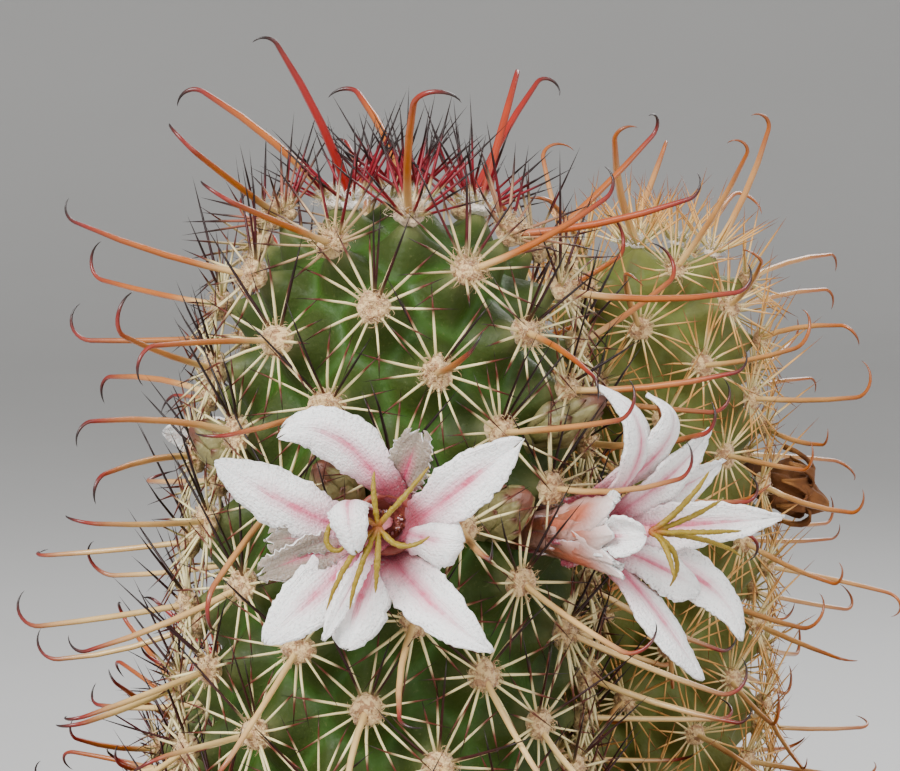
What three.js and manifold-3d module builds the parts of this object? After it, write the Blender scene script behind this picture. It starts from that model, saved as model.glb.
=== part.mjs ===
// A potted clump of cochemiea capensis: a clay pot of gritty soil with three cactus stems that
// carry tubercles, stars of radial spines and hooked central spines, three open flowers with
// their pistils, four buds in the axils and one withered flower. Millimetres, +Z up, origin at
// the middle of the pot's underside. The front of the plant looks along -Y.
import * as THREE from "three";
import { ConvexHull } from "three/addons/math/ConvexHull.js";
import { mergeVertices } from "three/addons/utils/BufferGeometryUtils.js";
import Module from "manifold-3d";

const wasm = await Module();
wasm.setup();

// Pot: plain clay with a rim band and a drain hole
const POT = {
  height: 80, rimRadius: 60, footRadius: 44, wall: 5, floor: 7, chamfer: 1.2,
  bandHeight: 22, bandStep: 3, bandSlopeShare: 0.6, drainRadius: 7, sides: 28,
};

// Soil: fills the pot to its top level, less the relief of the grit
const SOIL = { top: 72, relief: 1.8, ringShares: [0.88, 0.7, 0.52, 0.34, 0.16], holeSides: 20 };

// Gap that pieces resting on each other keep
const SEAT_GAP = 0.35;

// Stems. The axis leaves the soil at root and leans by lean degrees towards +X and +Y. The tips
// of the tubercles lie at radius * (d / (d + taper)) ^ blunt, d below the crown. Each tubercle
// covers cell square millimetres, fewer by crownShare at the crown, and follows the one before
// by the golden angle, the way of hand. The foot stands in a plain hole in the soil.
const STEMS = {
  stem_main: {
    root: [-7.9, -14], lean: [2, 0], height: 86, radius: 21.7, taper: 9.5, blunt: 0.35,
    cell: 85.7, crownShare: 0.93, crownReach: 6.2, phase: 170.5, hand: 1,
    tubercle: 4.8, footRadius: 14, hook: 22, hookTurns: [0.3, 0.85], ray: 9.5, rayEvery: 1,
  },
  stem_back: {
    root: [20.3, 18], lean: [1, 1], height: 80, radius: 13.8, taper: 5.5, blunt: 0.33,
    cell: 58, crownShare: 0.9, crownReach: 4, phase: 165, hand: -1,
    tubercle: 3.6, footRadius: 9, hook: 18, hookTurns: [0.65], ray: 7.5, rayEvery: 2,
  },
  stem_offset: {
    root: [-21, 17.5], lean: [-1.5, 1.5], height: 33, radius: 11.8, taper: 4.5, blunt: 0.33,
    cell: 48, crownShare: 0.9, crownReach: 4, phase: 60, hand: 1,
    tubercle: 3.2, footRadius: 8, hook: 15, hookTurns: [0.65], ray: 6.5, rayEvery: 2,
  },
};
const GOLDEN_ANGLE = 137.508;
const FIRST_SITE = 0.3;
const FOOT_DEPTH = 12;
const FOOT_RISE = 3;
const BASE_TAPER_LENGTH = 16;
const BASE_TAPER_SHARE = 0.26;
const CROWN_RELIEF_REACH = 14;
const CROWN_RELIEF_SHARE = 0.3;
const FOOT_RELIEF_SHARE = 0.25;
const SKIN_CLEARANCE = 0.6;

// Areole: a small hub on the tip of each tubercle. The hooked central spine rises from its
// three-sided crown, and one radial spine from each facet of its slope.
const HUB = { radius: 1.05, drop: 0.35, crownRadius: 0.5, crownRise: 0.45 };

// Hooked central spines: thickness along the shaft and in the hook, where the hook starts as a
// share of the length, how far it turns, and the lift of the aim over the horizon, which is steep
// at the crown and sinks below the horizon low on the stem
const HOOK = {
  shaft: 0.9, hook: 0.62, bendShare: 0.8, turn: 150, lift: 9, crownLift: 60, crownReach: 6,
  sag: 24, sagReach: 42,
  lowShare: 0.84, ageReach: 30, curlRun: 1.25,
};
const HOOK_SCATTER = { length: 0.07, lift: 9, swing: 14, roll: 75 };
const TILT_CHANGES = [0, 14, -14, 28, -28, 42, -42];

// Radial spines: how far they are raised off the skin
const RAY = { raise: 24, upperRaise: 14, thick: 0.5, upperLength: 0.2, shares: [1, 0.8, 0.6] };

// Flowers. A petal is its clock angle seen from in front, reach, width, flare at the tip and
// sideways bend.
const TUBE = { length: 13.2, throat: 4.2, ovary: 1.9, wall: 0.9, floor: 3.2, sides: 8 };
const PETAL = { thick: 0.7, rows: [0, 0.34, 0.68, 1], spread: [0.34, 0.7, 1, 0.26], start: 2.9 };
const FRONT_PETALS = [
  [158, 16, 4.6, 84, 0], [78, 9.5, 5, 82, 62], [70, 9.5, 3.2, 72, 0], [36, 15.5, 5, 80, 0],
  [-10, 8.5, 4.4, 62, 0], [-48, 15, 5, 84, 0], [-104, 11, 6, 80, 0], [-138, 15.3, 5, 82, 0],
  [-163, 12.3, 3.4, 94, 0], [178, 10.7, 3.2, 98, 0],
];
const RIGHT_PETALS = [
  [84, 11, 4.4, 92, 10], [66, 10.5, 4.4, 80, 10], [41, 12.5, 4.2, 68, 0], [24, 12.5, 4.2, 66, 0],
  [0, 15.5, 4.8, 45, 0], [-28, 14.5, 4.8, 58, -24], [-50, 8, 4.6, 56, 0], [-84, 14.2, 4.8, 68, 12],
  [-140, 7, 4, 40, 0], [180, 6.5, 4.2, 34, 0], [132, 8, 4, 46, 0],
];
const REAR_PETALS = [
  [10, 16, 4.8, 82, 0], [50, 14, 4.4, 74, 8], [84, 13.5, 4.2, 84, 0], [118, 14, 4.6, 76, 0],
  [154, 14, 4.4, 72, -8], [188, 13, 4.6, 80, 0], [222, 13.5, 4.4, 74, 0], [258, 13, 4.6, 82, 6],
  [294, 13.5, 4.4, 70, 0], [328, 12.5, 4.2, 84, 0],
];
const STIGMA = { lobes: 7, length: 6.6, thick: 1.1, style: 0.75, rise: 16.3, spread: 62, droop: 0.16 };

// Where flowers and buds grow: the axil nearest to an angle round the stem and a depth below its
// crown, with the lift of the axis over the horizon and its swing sideways, in degrees.
const BLOOMS = {
  front: { stem: "stem_main", angle: 273, depth: 29.7, lift: 3, swing: -8, petals: FRONT_PETALS },
  right: { stem: "stem_main", angle: 326, depth: 31.8, lift: 6, swing: 0, petals: RIGHT_PETALS },
  rear: { stem: "stem_main", angle: 103, depth: 32.5, lift: 20, swing: 12, petals: REAR_PETALS },
};
const BUDS = {
  bud_front: { stem: "stem_main", angle: 308, depth: 31.1, lift: 30, swing: 0, length: 8.5, radius: 2.5 },
  bud_front_left: {
    stem: "stem_main", angle: 256, depth: 29.1, lift: 34, swing: -14, length: 8.5, radius: 2.4,
  },
  bud_right: { stem: "stem_main", angle: 338, depth: 22.8, lift: 30, swing: 0, length: 10, radius: 2.5 },
  bud_left: { stem: "stem_main", angle: 203, depth: 27, lift: 34, swing: 0, length: 9, radius: 2.5 },
};
const WITHERED = {
  stem: "stem_back", angle: 357, depth: 24.9, lift: -4, swing: 0, length: 12, radius: 2.3,
};

const FINISHES = {
  clay: { color: 0xb5673f, roughness: 0.85 },
  soil: { color: 0x5b4a3c, roughness: 0.95 },
  stem: { color: 0x4f7a35, roughness: 0.55 },
  petal: { color: 0xf3e0e4, roughness: 0.5 },
  stigma: { color: 0xb9a02c, roughness: 0.5 },
  bud: { color: 0x8d8f56, roughness: 0.6 },
  withered: { color: 0x6b4a2c, roughness: 0.9 },
};

const radians = THREE.MathUtils.degToRad;
const UP = new THREE.Vector3(0, 0, 1);

// A repeatable scatter between -1 and 1 for repeat number index.
function scatter(index, salt) {
  return ((index * index * 31 + index * 17 + salt * 57) % 101) / 50 - 1;
}

// Solids and meshes

function toSolid(geometry) {
  const bare = geometry.clone();
  bare.deleteAttribute("normal");
  bare.deleteAttribute("uv");
  const merged = mergeVertices(bare, 1e-4);
  return new wasm.Manifold(new wasm.Mesh({
    numProp: 3,
    vertProperties: new Float32Array(merged.attributes.position.array),
    triVerts: new Uint32Array(merged.index.array),
  }));
}

function fromFaces(points, faces) {
  const geometry = new THREE.BufferGeometry().setFromPoints(points);
  geometry.setIndex(faces.flat());
  return geometry;
}

// The largest body of a solid, without loose scraps.
function mainBody(solid) {
  return solid.decompose().reduce((best, body) => (body.volume() > best.volume() ? body : best));
}

function toMesh(name, solid, finish) {
  const mesh = solid.getMesh();
  const geometry = new THREE.BufferGeometry();
  geometry.setAttribute("position", new THREE.BufferAttribute(new Float32Array(mesh.vertProperties), 3));
  geometry.setIndex(new THREE.BufferAttribute(new Uint32Array(mesh.triVerts), 1));
  geometry.computeVertexNormals();
  const material = new THREE.MeshStandardMaterial({ ...FINISHES[finish], metalness: 0 });
  const piece = new THREE.Mesh(geometry, material);
  piece.name = name;
  return piece;
}

// A solid of revolution about Z from [radius, height] points.
function turned(profile, sides) {
  const points = profile.map(([r, z]) => new THREE.Vector2(r, z));
  return new THREE.LatheGeometry(points, sides).rotateX(Math.PI / 2);
}

// A tapering bar along a path of points, with a polygon of thick[i] at each point and a sharp end.
function spike(path, thick, sideways, sides) {
  const points = [];
  const faces = [];
  const last = path.length - 1;
  for (let i = 0; i < last; i += 1) {
    const ahead = path[i + 1].clone().sub(path[Math.max(0, i - 1)]).normalize();
    const across = sideways.clone().addScaledVector(ahead, -sideways.dot(ahead)).normalize();
    const over = ahead.clone().cross(across);
    for (let j = 0; j < sides; j += 1) {
      const turn = (2 * Math.PI * j) / sides;
      points.push(path[i].clone()
        .addScaledVector(across, (Math.cos(turn) * thick[i]) / 2)
        .addScaledVector(over, (Math.sin(turn) * thick[i]) / 2));
    }
  }
  points.push(path[last]);
  for (let j = 1; j < sides - 1; j += 1) faces.push([0, j + 1, j]);
  for (let i = 0; i < last; i += 1) {
    for (let j = 0; j < sides; j += 1) {
      const a = i * sides + j;
      const b = i * sides + ((j + 1) % sides);
      if (i === last - 1) faces.push([a, b, points.length - 1]);
      else faces.push([a, b, b + sides], [a, b + sides, a + sides]);
    }
  }
  return toSolid(fromFaces(points, faces));
}

// Pot and soil

function potOuter(z) {
  const bandBottom = POT.height - POT.bandHeight;
  const slope = (POT.rimRadius - POT.bandStep - POT.footRadius) / bandBottom;
  const inBand = POT.bandSlopeShare * Math.max(0, z - bandBottom);
  return POT.footRadius + slope * (Math.min(z, bandBottom) + inBand);
}

function makePot() {
  const bandBottom = POT.height - POT.bandHeight;
  const profile = [
    [POT.drainRadius, 0],
    [POT.footRadius - POT.chamfer, 0],
    [potOuter(POT.chamfer), POT.chamfer],
    [potOuter(bandBottom), bandBottom],
    [potOuter(bandBottom) + POT.bandStep, bandBottom],
    [POT.rimRadius, POT.height - POT.chamfer],
    [POT.rimRadius - POT.chamfer, POT.height],
    [potOuter(POT.height) - POT.wall, POT.height],
    [potOuter(bandBottom) - POT.wall, bandBottom],
    [potOuter(POT.floor) - POT.wall, POT.floor],
    [POT.drainRadius, POT.floor],
    [POT.drainRadius, 0],
  ];
  return toSolid(turned(profile, POT.sides));
}

function makeSoil(stems) {
  const bandBottom = POT.height - POT.bandHeight;
  const bottom = POT.floor + SEAT_GAP;
  const edge = (z) => potOuter(z) - POT.wall - SEAT_GAP;
  const geometry = turned([
    [0, bottom],
    [edge(bottom), bottom],
    [edge(bandBottom), bandBottom],
    [edge(SOIL.top), SOIL.top],
    ...SOIL.ringShares.map((share) => [share * edge(SOIL.top), SOIL.top]),
    [0, SOIL.top],
  ], POT.sides);
  const place = geometry.attributes.position;
  for (let i = 0; i < place.count; i += 1) {
    const radius = Math.hypot(place.getX(i), place.getY(i));
    const turn = Math.atan2(place.getY(i), place.getX(i)) / (2 * Math.PI);
    const side = Math.round((turn + 1) * POT.sides) % POT.sides;
    const grain = radius < 1 ? 0 : side * 7 + Math.round(radius);
    if (place.getZ(i) > SOIL.top - 0.01) {
      place.setZ(i, SOIL.top - (SOIL.relief * (1 + scatter(grain, 3))) / 2);
    }
  }
  return stems.reduce((soil, stem) => {
    const radius = stem.footRadius + SEAT_GAP;
    const hole = new THREE.CylinderGeometry(radius, radius, 2 * FOOT_DEPTH, SOIL.holeSides);
    hole.rotateX(Math.PI / 2);
    hole.translate(...stem.root, SOIL.top - SEAT_GAP);
    return soil.subtract(toSolid(hole));
  }, toSolid(geometry));
}

// Stems

function tipRadius(stem, depth) {
  const below = Math.max(0, depth - (stem.height - BASE_TAPER_LENGTH)) / BASE_TAPER_LENGTH;
  return stem.radius * (depth / (depth + stem.taper)) ** stem.blunt * (1 - BASE_TAPER_SHARE * below ** 2);
}

// Axes of a stem: along its length, and two across it.
function stemAxes(stem) {
  const along = new THREE.Vector3(
    Math.sin(radians(stem.lean[0])), Math.sin(radians(stem.lean[1])), 1).normalize();
  const east = new THREE.Vector3(1, 0, 0).addScaledVector(along, -along.x).normalize();
  return { along, east, north: along.clone().cross(east) };
}

function axisPoint(stem, depth) {
  return new THREE.Vector3(...stem.root, SOIL.top)
    .addScaledVector(stemAxes(stem).along, stem.height - depth);
}

// Areoles down the stem: walks down the profile and drops one each time the skin passed has
// grown by one cell.
function makeSites(stem) {
  const axes = stemAxes(stem);
  const sites = [];
  let depth = 0;
  let radius = 0;
  let passed = 0;
  let count = 0;
  while (depth < stem.height + 6) {
    const step = depth < 3 ? 0.0005 + depth * 0.01 : 0.04;
    const nextRadius = tipRadius(stem, depth + step);
    const run = Math.hypot(step, nextRadius - radius);
    const cell = stem.cell * (1 - stem.crownShare * Math.exp(-(passed + run / 2) / stem.crownReach));
    count += (Math.PI * (radius + nextRadius) * run) / cell;
    passed += run;
    while (count >= sites.length + FIRST_SITE) {
      const turn = radians(stem.phase + stem.hand * GOLDEN_ANGLE * sites.length);
      const across = axes.east.clone().multiplyScalar(Math.cos(turn))
        .addScaledVector(axes.north, Math.sin(turn));
      const out = across.clone().multiplyScalar(step / run)
        .addScaledVector(axes.along, (nextRadius - radius) / run);
      const tip = axisPoint(stem, depth + step).addScaledVector(across, nextRadius);
      sites.push({ index: sites.length, turn, depth: depth + step, passed, across, out, tip });
    }
    depth += step;
    radius = nextRadius;
  }
  return sites;
}

// Triples of neighbouring sites: the hull of the tips, with each long diagonal turned to the
// short one, so that every tubercle meets its nearest neighbours.
function neighbourTriples(sites) {
  const numbers = new Map(sites.map((site) => [site.tip, site.index]));
  const hull = new ConvexHull().setFromPoints(sites.map((site) => site.tip));
  const triples = hull.faces.map((face) => [0, 1, 2].map((i) => numbers.get(face.getEdge(i).head().point)));
  const angleAt = (c, a, b) => {
    const [toA, toB] = [a, b].map((end) => sites[end].tip.clone().sub(sites[c].tip));
    return toA.angleTo(toB);
  };
  let flipped = true;
  while (flipped) {
    flipped = false;
    const owner = new Map();
    triples.forEach((triple) => triple.forEach((a, i) => owner.set(`${a},${triple[(i + 1) % 3]}`, triple)));
    for (const [key, triple] of owner) {
      const [a, b] = key.split(",").map(Number);
      const other = owner.get(`${b},${a}`);
      const c = triple.find((number) => number !== a && number !== b);
      const d = other.find((number) => number !== a && number !== b);
      const sameSide = sites[c].across.dot(sites[d].across) > 0.2 || sites[a].depth < CROWN_RELIEF_REACH;
      if (sameSide && angleAt(c, a, b) + angleAt(d, a, b) > Math.PI + 0.01) {
        triple.splice(0, 3, a, d, c);
        other.splice(0, 3, d, b, c);
        flipped = true;
        break;
      }
    }
  }
  return triples;
}

// The furrow corners between each three neighbouring tubercles.
function makeCorners(stem, sites) {
  return neighbourTriples(sites).map((around) => {
    const three = around.map((number) => sites[number]);
    const out = three.reduce((sum, site) => sum.add(site.out), new THREE.Vector3()).normalize();
    const passed = three.reduce((sum, site) => sum + site.passed, 0) / 3;
    const depth = three.reduce((sum, site) => sum + site.depth, 0) / 3;
    const grown = Math.min(1, CROWN_RELIEF_SHARE + ((1 - CROWN_RELIEF_SHARE) * passed) / CROWN_RELIEF_REACH);
    const low = Math.max(0, depth - (stem.height - BASE_TAPER_LENGTH)) / BASE_TAPER_LENGTH;
    const sunk = stem.tubercle * grown * Math.max(FOOT_RELIEF_SHARE, 1 - (1 - FOOT_RELIEF_SHARE) * low);
    const point = three.reduce((sum, site) => sum.add(site.tip), new THREE.Vector3())
      .multiplyScalar(1 / 3).addScaledVector(out, -sunk);
    return { around, depth, point };
  });
}

// The areole numbers and furrow corners round each site, in turn.
function makeRings(sites, corners) {
  const following = new Map();
  const cornerLeft = new Map();
  corners.forEach((corner, number) => {
    corner.around.forEach((a, i) => {
      const b = corner.around[(i + 1) % 3];
      following.set(`${a},${b}`, corner.around[(i + 2) % 3]);
      cornerLeft.set(`${a},${b}`, number);
    });
  });
  const rings = new Map();
  for (const key of following.keys()) {
    const [a, first] = key.split(",").map(Number);
    if (rings.has(a)) continue;
    const ring = [];
    let b = first;
    do {
      ring.push(cornerLeft.get(`${a},${b}`));
      b = following.get(`${a},${b}`);
    } while (b !== first);
    rings.set(a, ring);
  }
  return sites.map((site) => rings.get(site.index));
}

// Directions across the skin at a site, towards each of its furrow corners.
function hubDirections(site, ring, corners) {
  return ring.map((number) => {
    const way = corners[number].point.clone().sub(site.tip);
    return way.addScaledVector(site.out, -way.dot(site.out)).normalize();
  });
}

// The skin of a stem: a faceted cone round each areole, down to the furrow corners round it, with
// the hub of the areole on its tip, and its hooked spine and radial spines drawn out of the hub.
function makeSkin(sites, corners, rings, spines = []) {
  const points = corners.map((corner) => corner.point);
  const faces = [];
  const add = (point) => points.push(point) - 1;
  for (const site of sites) {
    const ring = rings[site.index];
    const count = ring.length;
    const ways = hubDirections(site, ring, corners);
    const { hook, rays } = spines[site.index] ?? { hook: null, rays: [] };
    const hub = ways.map((way) => add(site.tip.clone()
      .addScaledVector(way, HUB.radius).addScaledVector(site.out, -HUB.drop)));
    const third = (i) => Math.floor((i * 3) / count);
    const offsets = [0, 1, 2].map((j) => ways.filter((way, i) => third(i) === j)
      .reduce((sum, way) => sum.add(way), new THREE.Vector3()).normalize());
    const crown = offsets.map((way) => add(site.tip.clone()
      .addScaledVector(way, HUB.crownRadius).addScaledVector(site.out, HUB.crownRise)));
    for (let i = 0; i < count; i += 1) {
      const next = (i + 1) % count;
      const top = crown[third(i)];
      faces.push([hub[i], ring[i], ring[next]], [hub[i], ring[next], hub[next]]);
      if (rays[i]) {
        const tip = add(rays[i]);
        faces.push([top, hub[i], tip], [hub[i], hub[next], tip], [hub[next], top, tip]);
      } else faces.push([top, hub[i], hub[next]]);
      if (third(i) !== third((i + count - 1) % count)) {
        faces.push([crown[third((i + count - 1) % count)], hub[i], top]);
      }
    }
    if (hook) drawOut(points, faces, crown, offsets, site.out, hook);
    else faces.push(crown);
  }
  return toSolid(fromFaces(points, faces));
}

// Draws a three-sided crown out along a path to a sharp end.
function drawOut(points, faces, crown, offsets, out, path) {
  let below = crown;
  let heading = out;
  let ways = offsets;
  for (let i = 1; i < path.length - 1; i += 1) {
    const ahead = path[i + 1].clone().sub(path[i - 1]).normalize();
    const swing = new THREE.Quaternion().setFromUnitVectors(heading, ahead);
    heading = ahead;
    ways = ways.map((way) => way.clone().applyQuaternion(swing));
    const thick = i === 1 ? HOOK.shaft : HOOK.hook;
    const above = ways.map((way) => points.push(path[i].clone().addScaledVector(way, thick / 2)) - 1);
    for (let j = 0; j < 3; j += 1) {
      const k = (j + 1) % 3;
      faces.push([below[j], below[k], above[k]], [below[j], above[k], above[j]]);
    }
    below = above;
  }
  const tip = points.push(path[path.length - 1]) - 1;
  for (let j = 0; j < 3; j += 1) faces.push([below[j], below[(j + 1) % 3], tip]);
}

// The stem without spines: its skin above the soil, on a round foot in the soil's hole.
function makeStemBody(stem, skin) {
  const above = new THREE.BoxGeometry(200, 200, 200).translate(0, 0, SOIL.top + SKIN_CLEARANCE + 100);
  const length = FOOT_DEPTH + FOOT_RISE;
  const foot = new THREE.CylinderGeometry(stem.footRadius, stem.footRadius, length, SOIL.holeSides);
  foot.rotateX(Math.PI / 2);
  foot.translate(...stem.root, SOIL.top + FOOT_RISE - length / 2);
  return skin.intersect(toSolid(above)).add(toSolid(foot));
}

// Clearances: pieces and spines leave a trail of beads, which later spines keep clear of.

const beads = [];
const HUB_CLEARANCE = 2;

function trail(path, radius, node, tipRadiusShare = 1) {
  const found = [];
  const total = path.slice(1).reduce((sum, point, i) => sum + point.distanceTo(path[i]), 0);
  let walked = 0;
  for (let i = 0; i + 1 < path.length; i += 1) {
    const run = path[i].distanceTo(path[i + 1]);
    const steps = Math.max(1, Math.ceil(run));
    for (let j = 1; j <= steps; j += 1) {
      const along = walked + (run * j) / steps;
      const share = 1 - (1 - tipRadiusShare) * (along / total);
      const point = path[i].clone().lerp(path[i + 1], j / steps);
      found.push({ point, radius: radius * share, node, along });
    }
    walked += run;
  }
  return found;
}

function isInsideStem(point, stem, clearance) {
  const axes = stemAxes(stem);
  const rise = point.clone().sub(axisPoint(stem, stem.height));
  const height = rise.dot(axes.along);
  const off = rise.addScaledVector(axes.along, -height).length();
  const depth = stem.height - height;
  return depth > -clearance && off < tipRadius(stem, Math.max(0.01, depth + clearance)) + clearance;
}

// Spines of one node are fused at their hubs, so beads near a hub count for other nodes only.
function isApart(bead, other) {
  const gap = bead.point.distanceTo(other.point) - bead.radius - other.radius;
  if (bead.node !== other.node) return gap > SEAT_GAP;
  return gap > 0.1 || Math.min(bead.along, other.along) < HUB_CLEARANCE;
}

function isClear(found, node) {
  return found.every((bead) => bead.point.z > SOIL.top + 1.5
    && Object.entries(STEMS).every(([name, stem]) => name === node || !isInsideStem(bead.point, stem, 1.5))
    && beads.every((other) => isApart(bead, other)));
}

// Spines

function tilted(site, stem, lift, swing) {
  const { along } = stemAxes(stem);
  const side = along.clone().cross(site.across);
  return site.across.clone().multiplyScalar(Math.cos(swing)).addScaledVector(side, Math.sin(swing))
    .multiplyScalar(Math.cos(lift)).addScaledVector(along, Math.sin(lift));
}

// Path of the hooked spine of one areole, tried at a few tilts until it is clear: straight, then
// turned at its end towards curl, mostly up.
function makeHook(site, stem, node) {
  const aged = HOOK.lowShare + (1 - HOOK.lowShare) * Math.exp(-site.depth / HOOK.ageReach);
  const length = stem.hook * (aged + HOOK_SCATTER.length * scatter(site.index, 1));
  const { along } = stemAxes(stem);
  const sunk = HOOK.sag * (1 - Math.exp(-((site.depth / HOOK.sagReach) ** 2)));
  const baseLift = HOOK.lift + HOOK.crownLift * Math.exp(-site.depth / HOOK.crownReach) - sunk;
  for (const change of TILT_CHANGES) {
    const lift = radians(baseLift + HOOK_SCATTER.lift * scatter(site.index, 2) + change);
    const swing = radians(HOOK_SCATTER.swing * scatter(site.index, 5) + change / 2);
    const aim = tilted(site, stem, lift, swing);
    const roll = radians(HOOK_SCATTER.roll * scatter(site.index, 4) + (site.index % 4 === 3 ? 180 : 0));
    const upright = along.clone().addScaledVector(aim, -along.dot(aim)).normalize();
    const curl = upright.clone().multiplyScalar(Math.cos(roll))
      .addScaledVector(aim.clone().cross(upright), Math.sin(roll));
    const path = [site.tip, site.tip.clone().addScaledVector(aim, length * HOOK.bendShare)];
    for (const share of stem.hookTurns) {
      const turn = radians(HOOK.turn * share);
      const heading = aim.clone().multiplyScalar(Math.cos(turn)).addScaledVector(curl, Math.sin(turn));
      path.push(path[path.length - 1].clone()
        .addScaledVector(heading, (HOOK.curlRun * length * (1 - HOOK.bendShare)) / stem.hookTurns.length));
    }
    const found = trail(path, HOOK.shaft / 2, node);
    if (isClear(found, node)) {
      beads.push(...found);
      return path;
    }
  }
  return null;
}

// Tips of the radial spines of one areole, each between two furrow corners, shorter where it
// would touch something, and left out where that isn't enough.
function makeRays(site, stem, node, ways) {
  return ways.map((way, i) => {
    const between = way.clone().add(ways[(i + 1) % ways.length]).normalize();
    const upper = Math.max(0, between.dot(stemAxes(stem).along));
    const raise = radians(RAY.raise + RAY.upperRaise * upper + 5 * scatter(site.index * 7 + i, 6));
    const heading = between.multiplyScalar(Math.cos(raise)).addScaledVector(site.out, Math.sin(raise));
    const full = stem.ray * (1 + RAY.upperLength * upper + 0.1 * scatter(site.index * 7 + i, 7));
    for (const share of RAY.shares) {
      const tip = site.tip.clone().addScaledVector(heading, full * share);
      const found = trail([site.tip, tip], RAY.thick, node, 0.1);
      if (isClear(found, node)) {
        beads.push(...found);
        return tip;
      }
    }
    return null;
  });
}

function makeSpines(sites, corners, rings, stem, node) {
  const reachable = (site) => site.tip.z > SOIL.top + 4;
  const hooks = sites.map((site) => (reachable(site) ? makeHook(site, stem, node) : null));
  return sites.map((site) => {
    const starred = reachable(site) && site.index % stem.rayEvery === 0;
    const ways = hubDirections(site, rings[site.index], corners);
    return { hook: hooks[site.index], rays: starred ? makeRays(site, stem, node, ways) : [] };
  });
}

// Flowers and buds

// Frame of a flower or bud at its axil: +Z along its axis, +Y upward, +X to its right as seen
// from in front.
function growthFrame(spec, corners) {
  const stem = STEMS[spec.stem];
  const axes = stemAxes(stem);
  const wanted = axisPoint(stem, spec.depth)
    .addScaledVector(axes.east, Math.cos(radians(spec.angle)) * (stem.radius - 4))
    .addScaledVector(axes.north, Math.sin(radians(spec.angle)) * (stem.radius - 4));
  const axil = corners.reduce((best, corner) => (
    corner.point.distanceTo(wanted) < best.point.distanceTo(wanted) ? corner : best));
  const around = axil.point.clone().sub(axisPoint(stem, axil.depth));
  const turn = Math.atan2(around.dot(axes.north), around.dot(axes.east)) + radians(spec.swing);
  const axis = axes.east.clone().multiplyScalar(Math.cos(turn)).addScaledVector(axes.north, Math.sin(turn))
    .multiplyScalar(Math.cos(radians(spec.lift))).addScaledVector(axes.along, Math.sin(radians(spec.lift)));
  const upward = UP.clone().addScaledVector(axis, -axis.z).normalize();
  return new THREE.Matrix4().makeBasis(upward.clone().cross(axis), upward, axis).setPosition(axil.point);
}

// A petal: a thin curved blade, split alike on both faces. Its path leaves the throat and flares
// outward; the sideways bend grows with the square of the length.
function makePetal([clock, reach, width, flare, bend], number) {
  const lift = number % 2 ? 0.8 : 0;
  const rows = [];
  let radius = PETAL.start;
  let height = TUBE.length - 3 + lift;
  let shareBefore = 0;
  for (let i = 0; i < PETAL.rows.length; i += 1) {
    const share = PETAL.rows[i];
    const heading = radians(16 + (flare - 16) * Math.min(1, (share + shareBefore) * 1.25));
    const run = (share - shareBefore) * (reach + 1.5);
    radius += Math.sin(heading) * run;
    height += Math.cos(heading) * run;
    shareBefore = share;
    const turn = radians(clock + bend * share ** 2);
    rows.push({ radius, height, heading, turn, half: (width * PETAL.spread[i]) / 2 });
  }
  const points = [];
  for (const row of rows) {
    const out = new THREE.Vector3(Math.cos(row.turn), Math.sin(row.turn), 0);
    const across = new THREE.Vector3(-Math.sin(row.turn), Math.cos(row.turn), 0);
    const inward = out.clone().multiplyScalar(-Math.cos(row.heading)).setZ(Math.sin(row.heading));
    for (const column of [-1, 0, 1]) {
      const top = out.clone().multiplyScalar(row.radius).setZ(row.height)
        .addScaledVector(across, column * row.half)
        .addScaledVector(inward, column === 0 ? -0.35 : 0);
      points.push(top, top.clone().addScaledVector(inward, -PETAL.thick));
    }
  }
  const at = (row, column, below) => (row * 3 + column) * 2 + below;
  const faces = [];
  const strip = (a, b) => {
    faces.push([at(...a, 0), at(...b, 0), at(...b, 1)], [at(...a, 0), at(...b, 1), at(...a, 1)]);
  };
  const last = rows.length - 1;
  for (let r = 0; r < last; r += 1) {
    for (let c = 0; c < 2; c += 1) {
      const [a, b, d, e] = [[r, c], [r + 1, c], [r + 1, c + 1], [r, c + 1]];
      for (const [i, j, k] of [[a, b, d], [a, d, e]]) {
        faces.push([at(...i, 0), at(...j, 0), at(...k, 0)], [at(...i, 1), at(...k, 1), at(...j, 1)]);
      }
    }
    strip([r + 1, 0], [r, 0]);
    strip([r, 2], [r + 1, 2]);
  }
  for (let c = 0; c < 2; c += 1) {
    strip([0, c], [0, c + 1]);
    strip([last, c + 1], [last, c]);
  }
  const lines = [0, 1, 2].map((column) => rows.map((row, i) => points[at(i, column, 0)]));
  return { blade: toSolid(fromFaces(points, faces)), lines };
}

function makeTube() {
  const inner = (r) => r - TUBE.wall;
  return toSolid(turned([
    [0, -2],
    [TUBE.ovary, -2],
    [TUBE.ovary + 0.5, TUBE.floor],
    [TUBE.throat * 0.82, TUBE.length * 0.62],
    [TUBE.throat, TUBE.length],
    [inner(TUBE.throat), TUBE.length],
    [inner(TUBE.throat * 0.82), TUBE.length * 0.62],
    [inner(TUBE.ovary + 0.5), TUBE.floor],
    [0, TUBE.floor],
  ], TUBE.sides));
}

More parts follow.
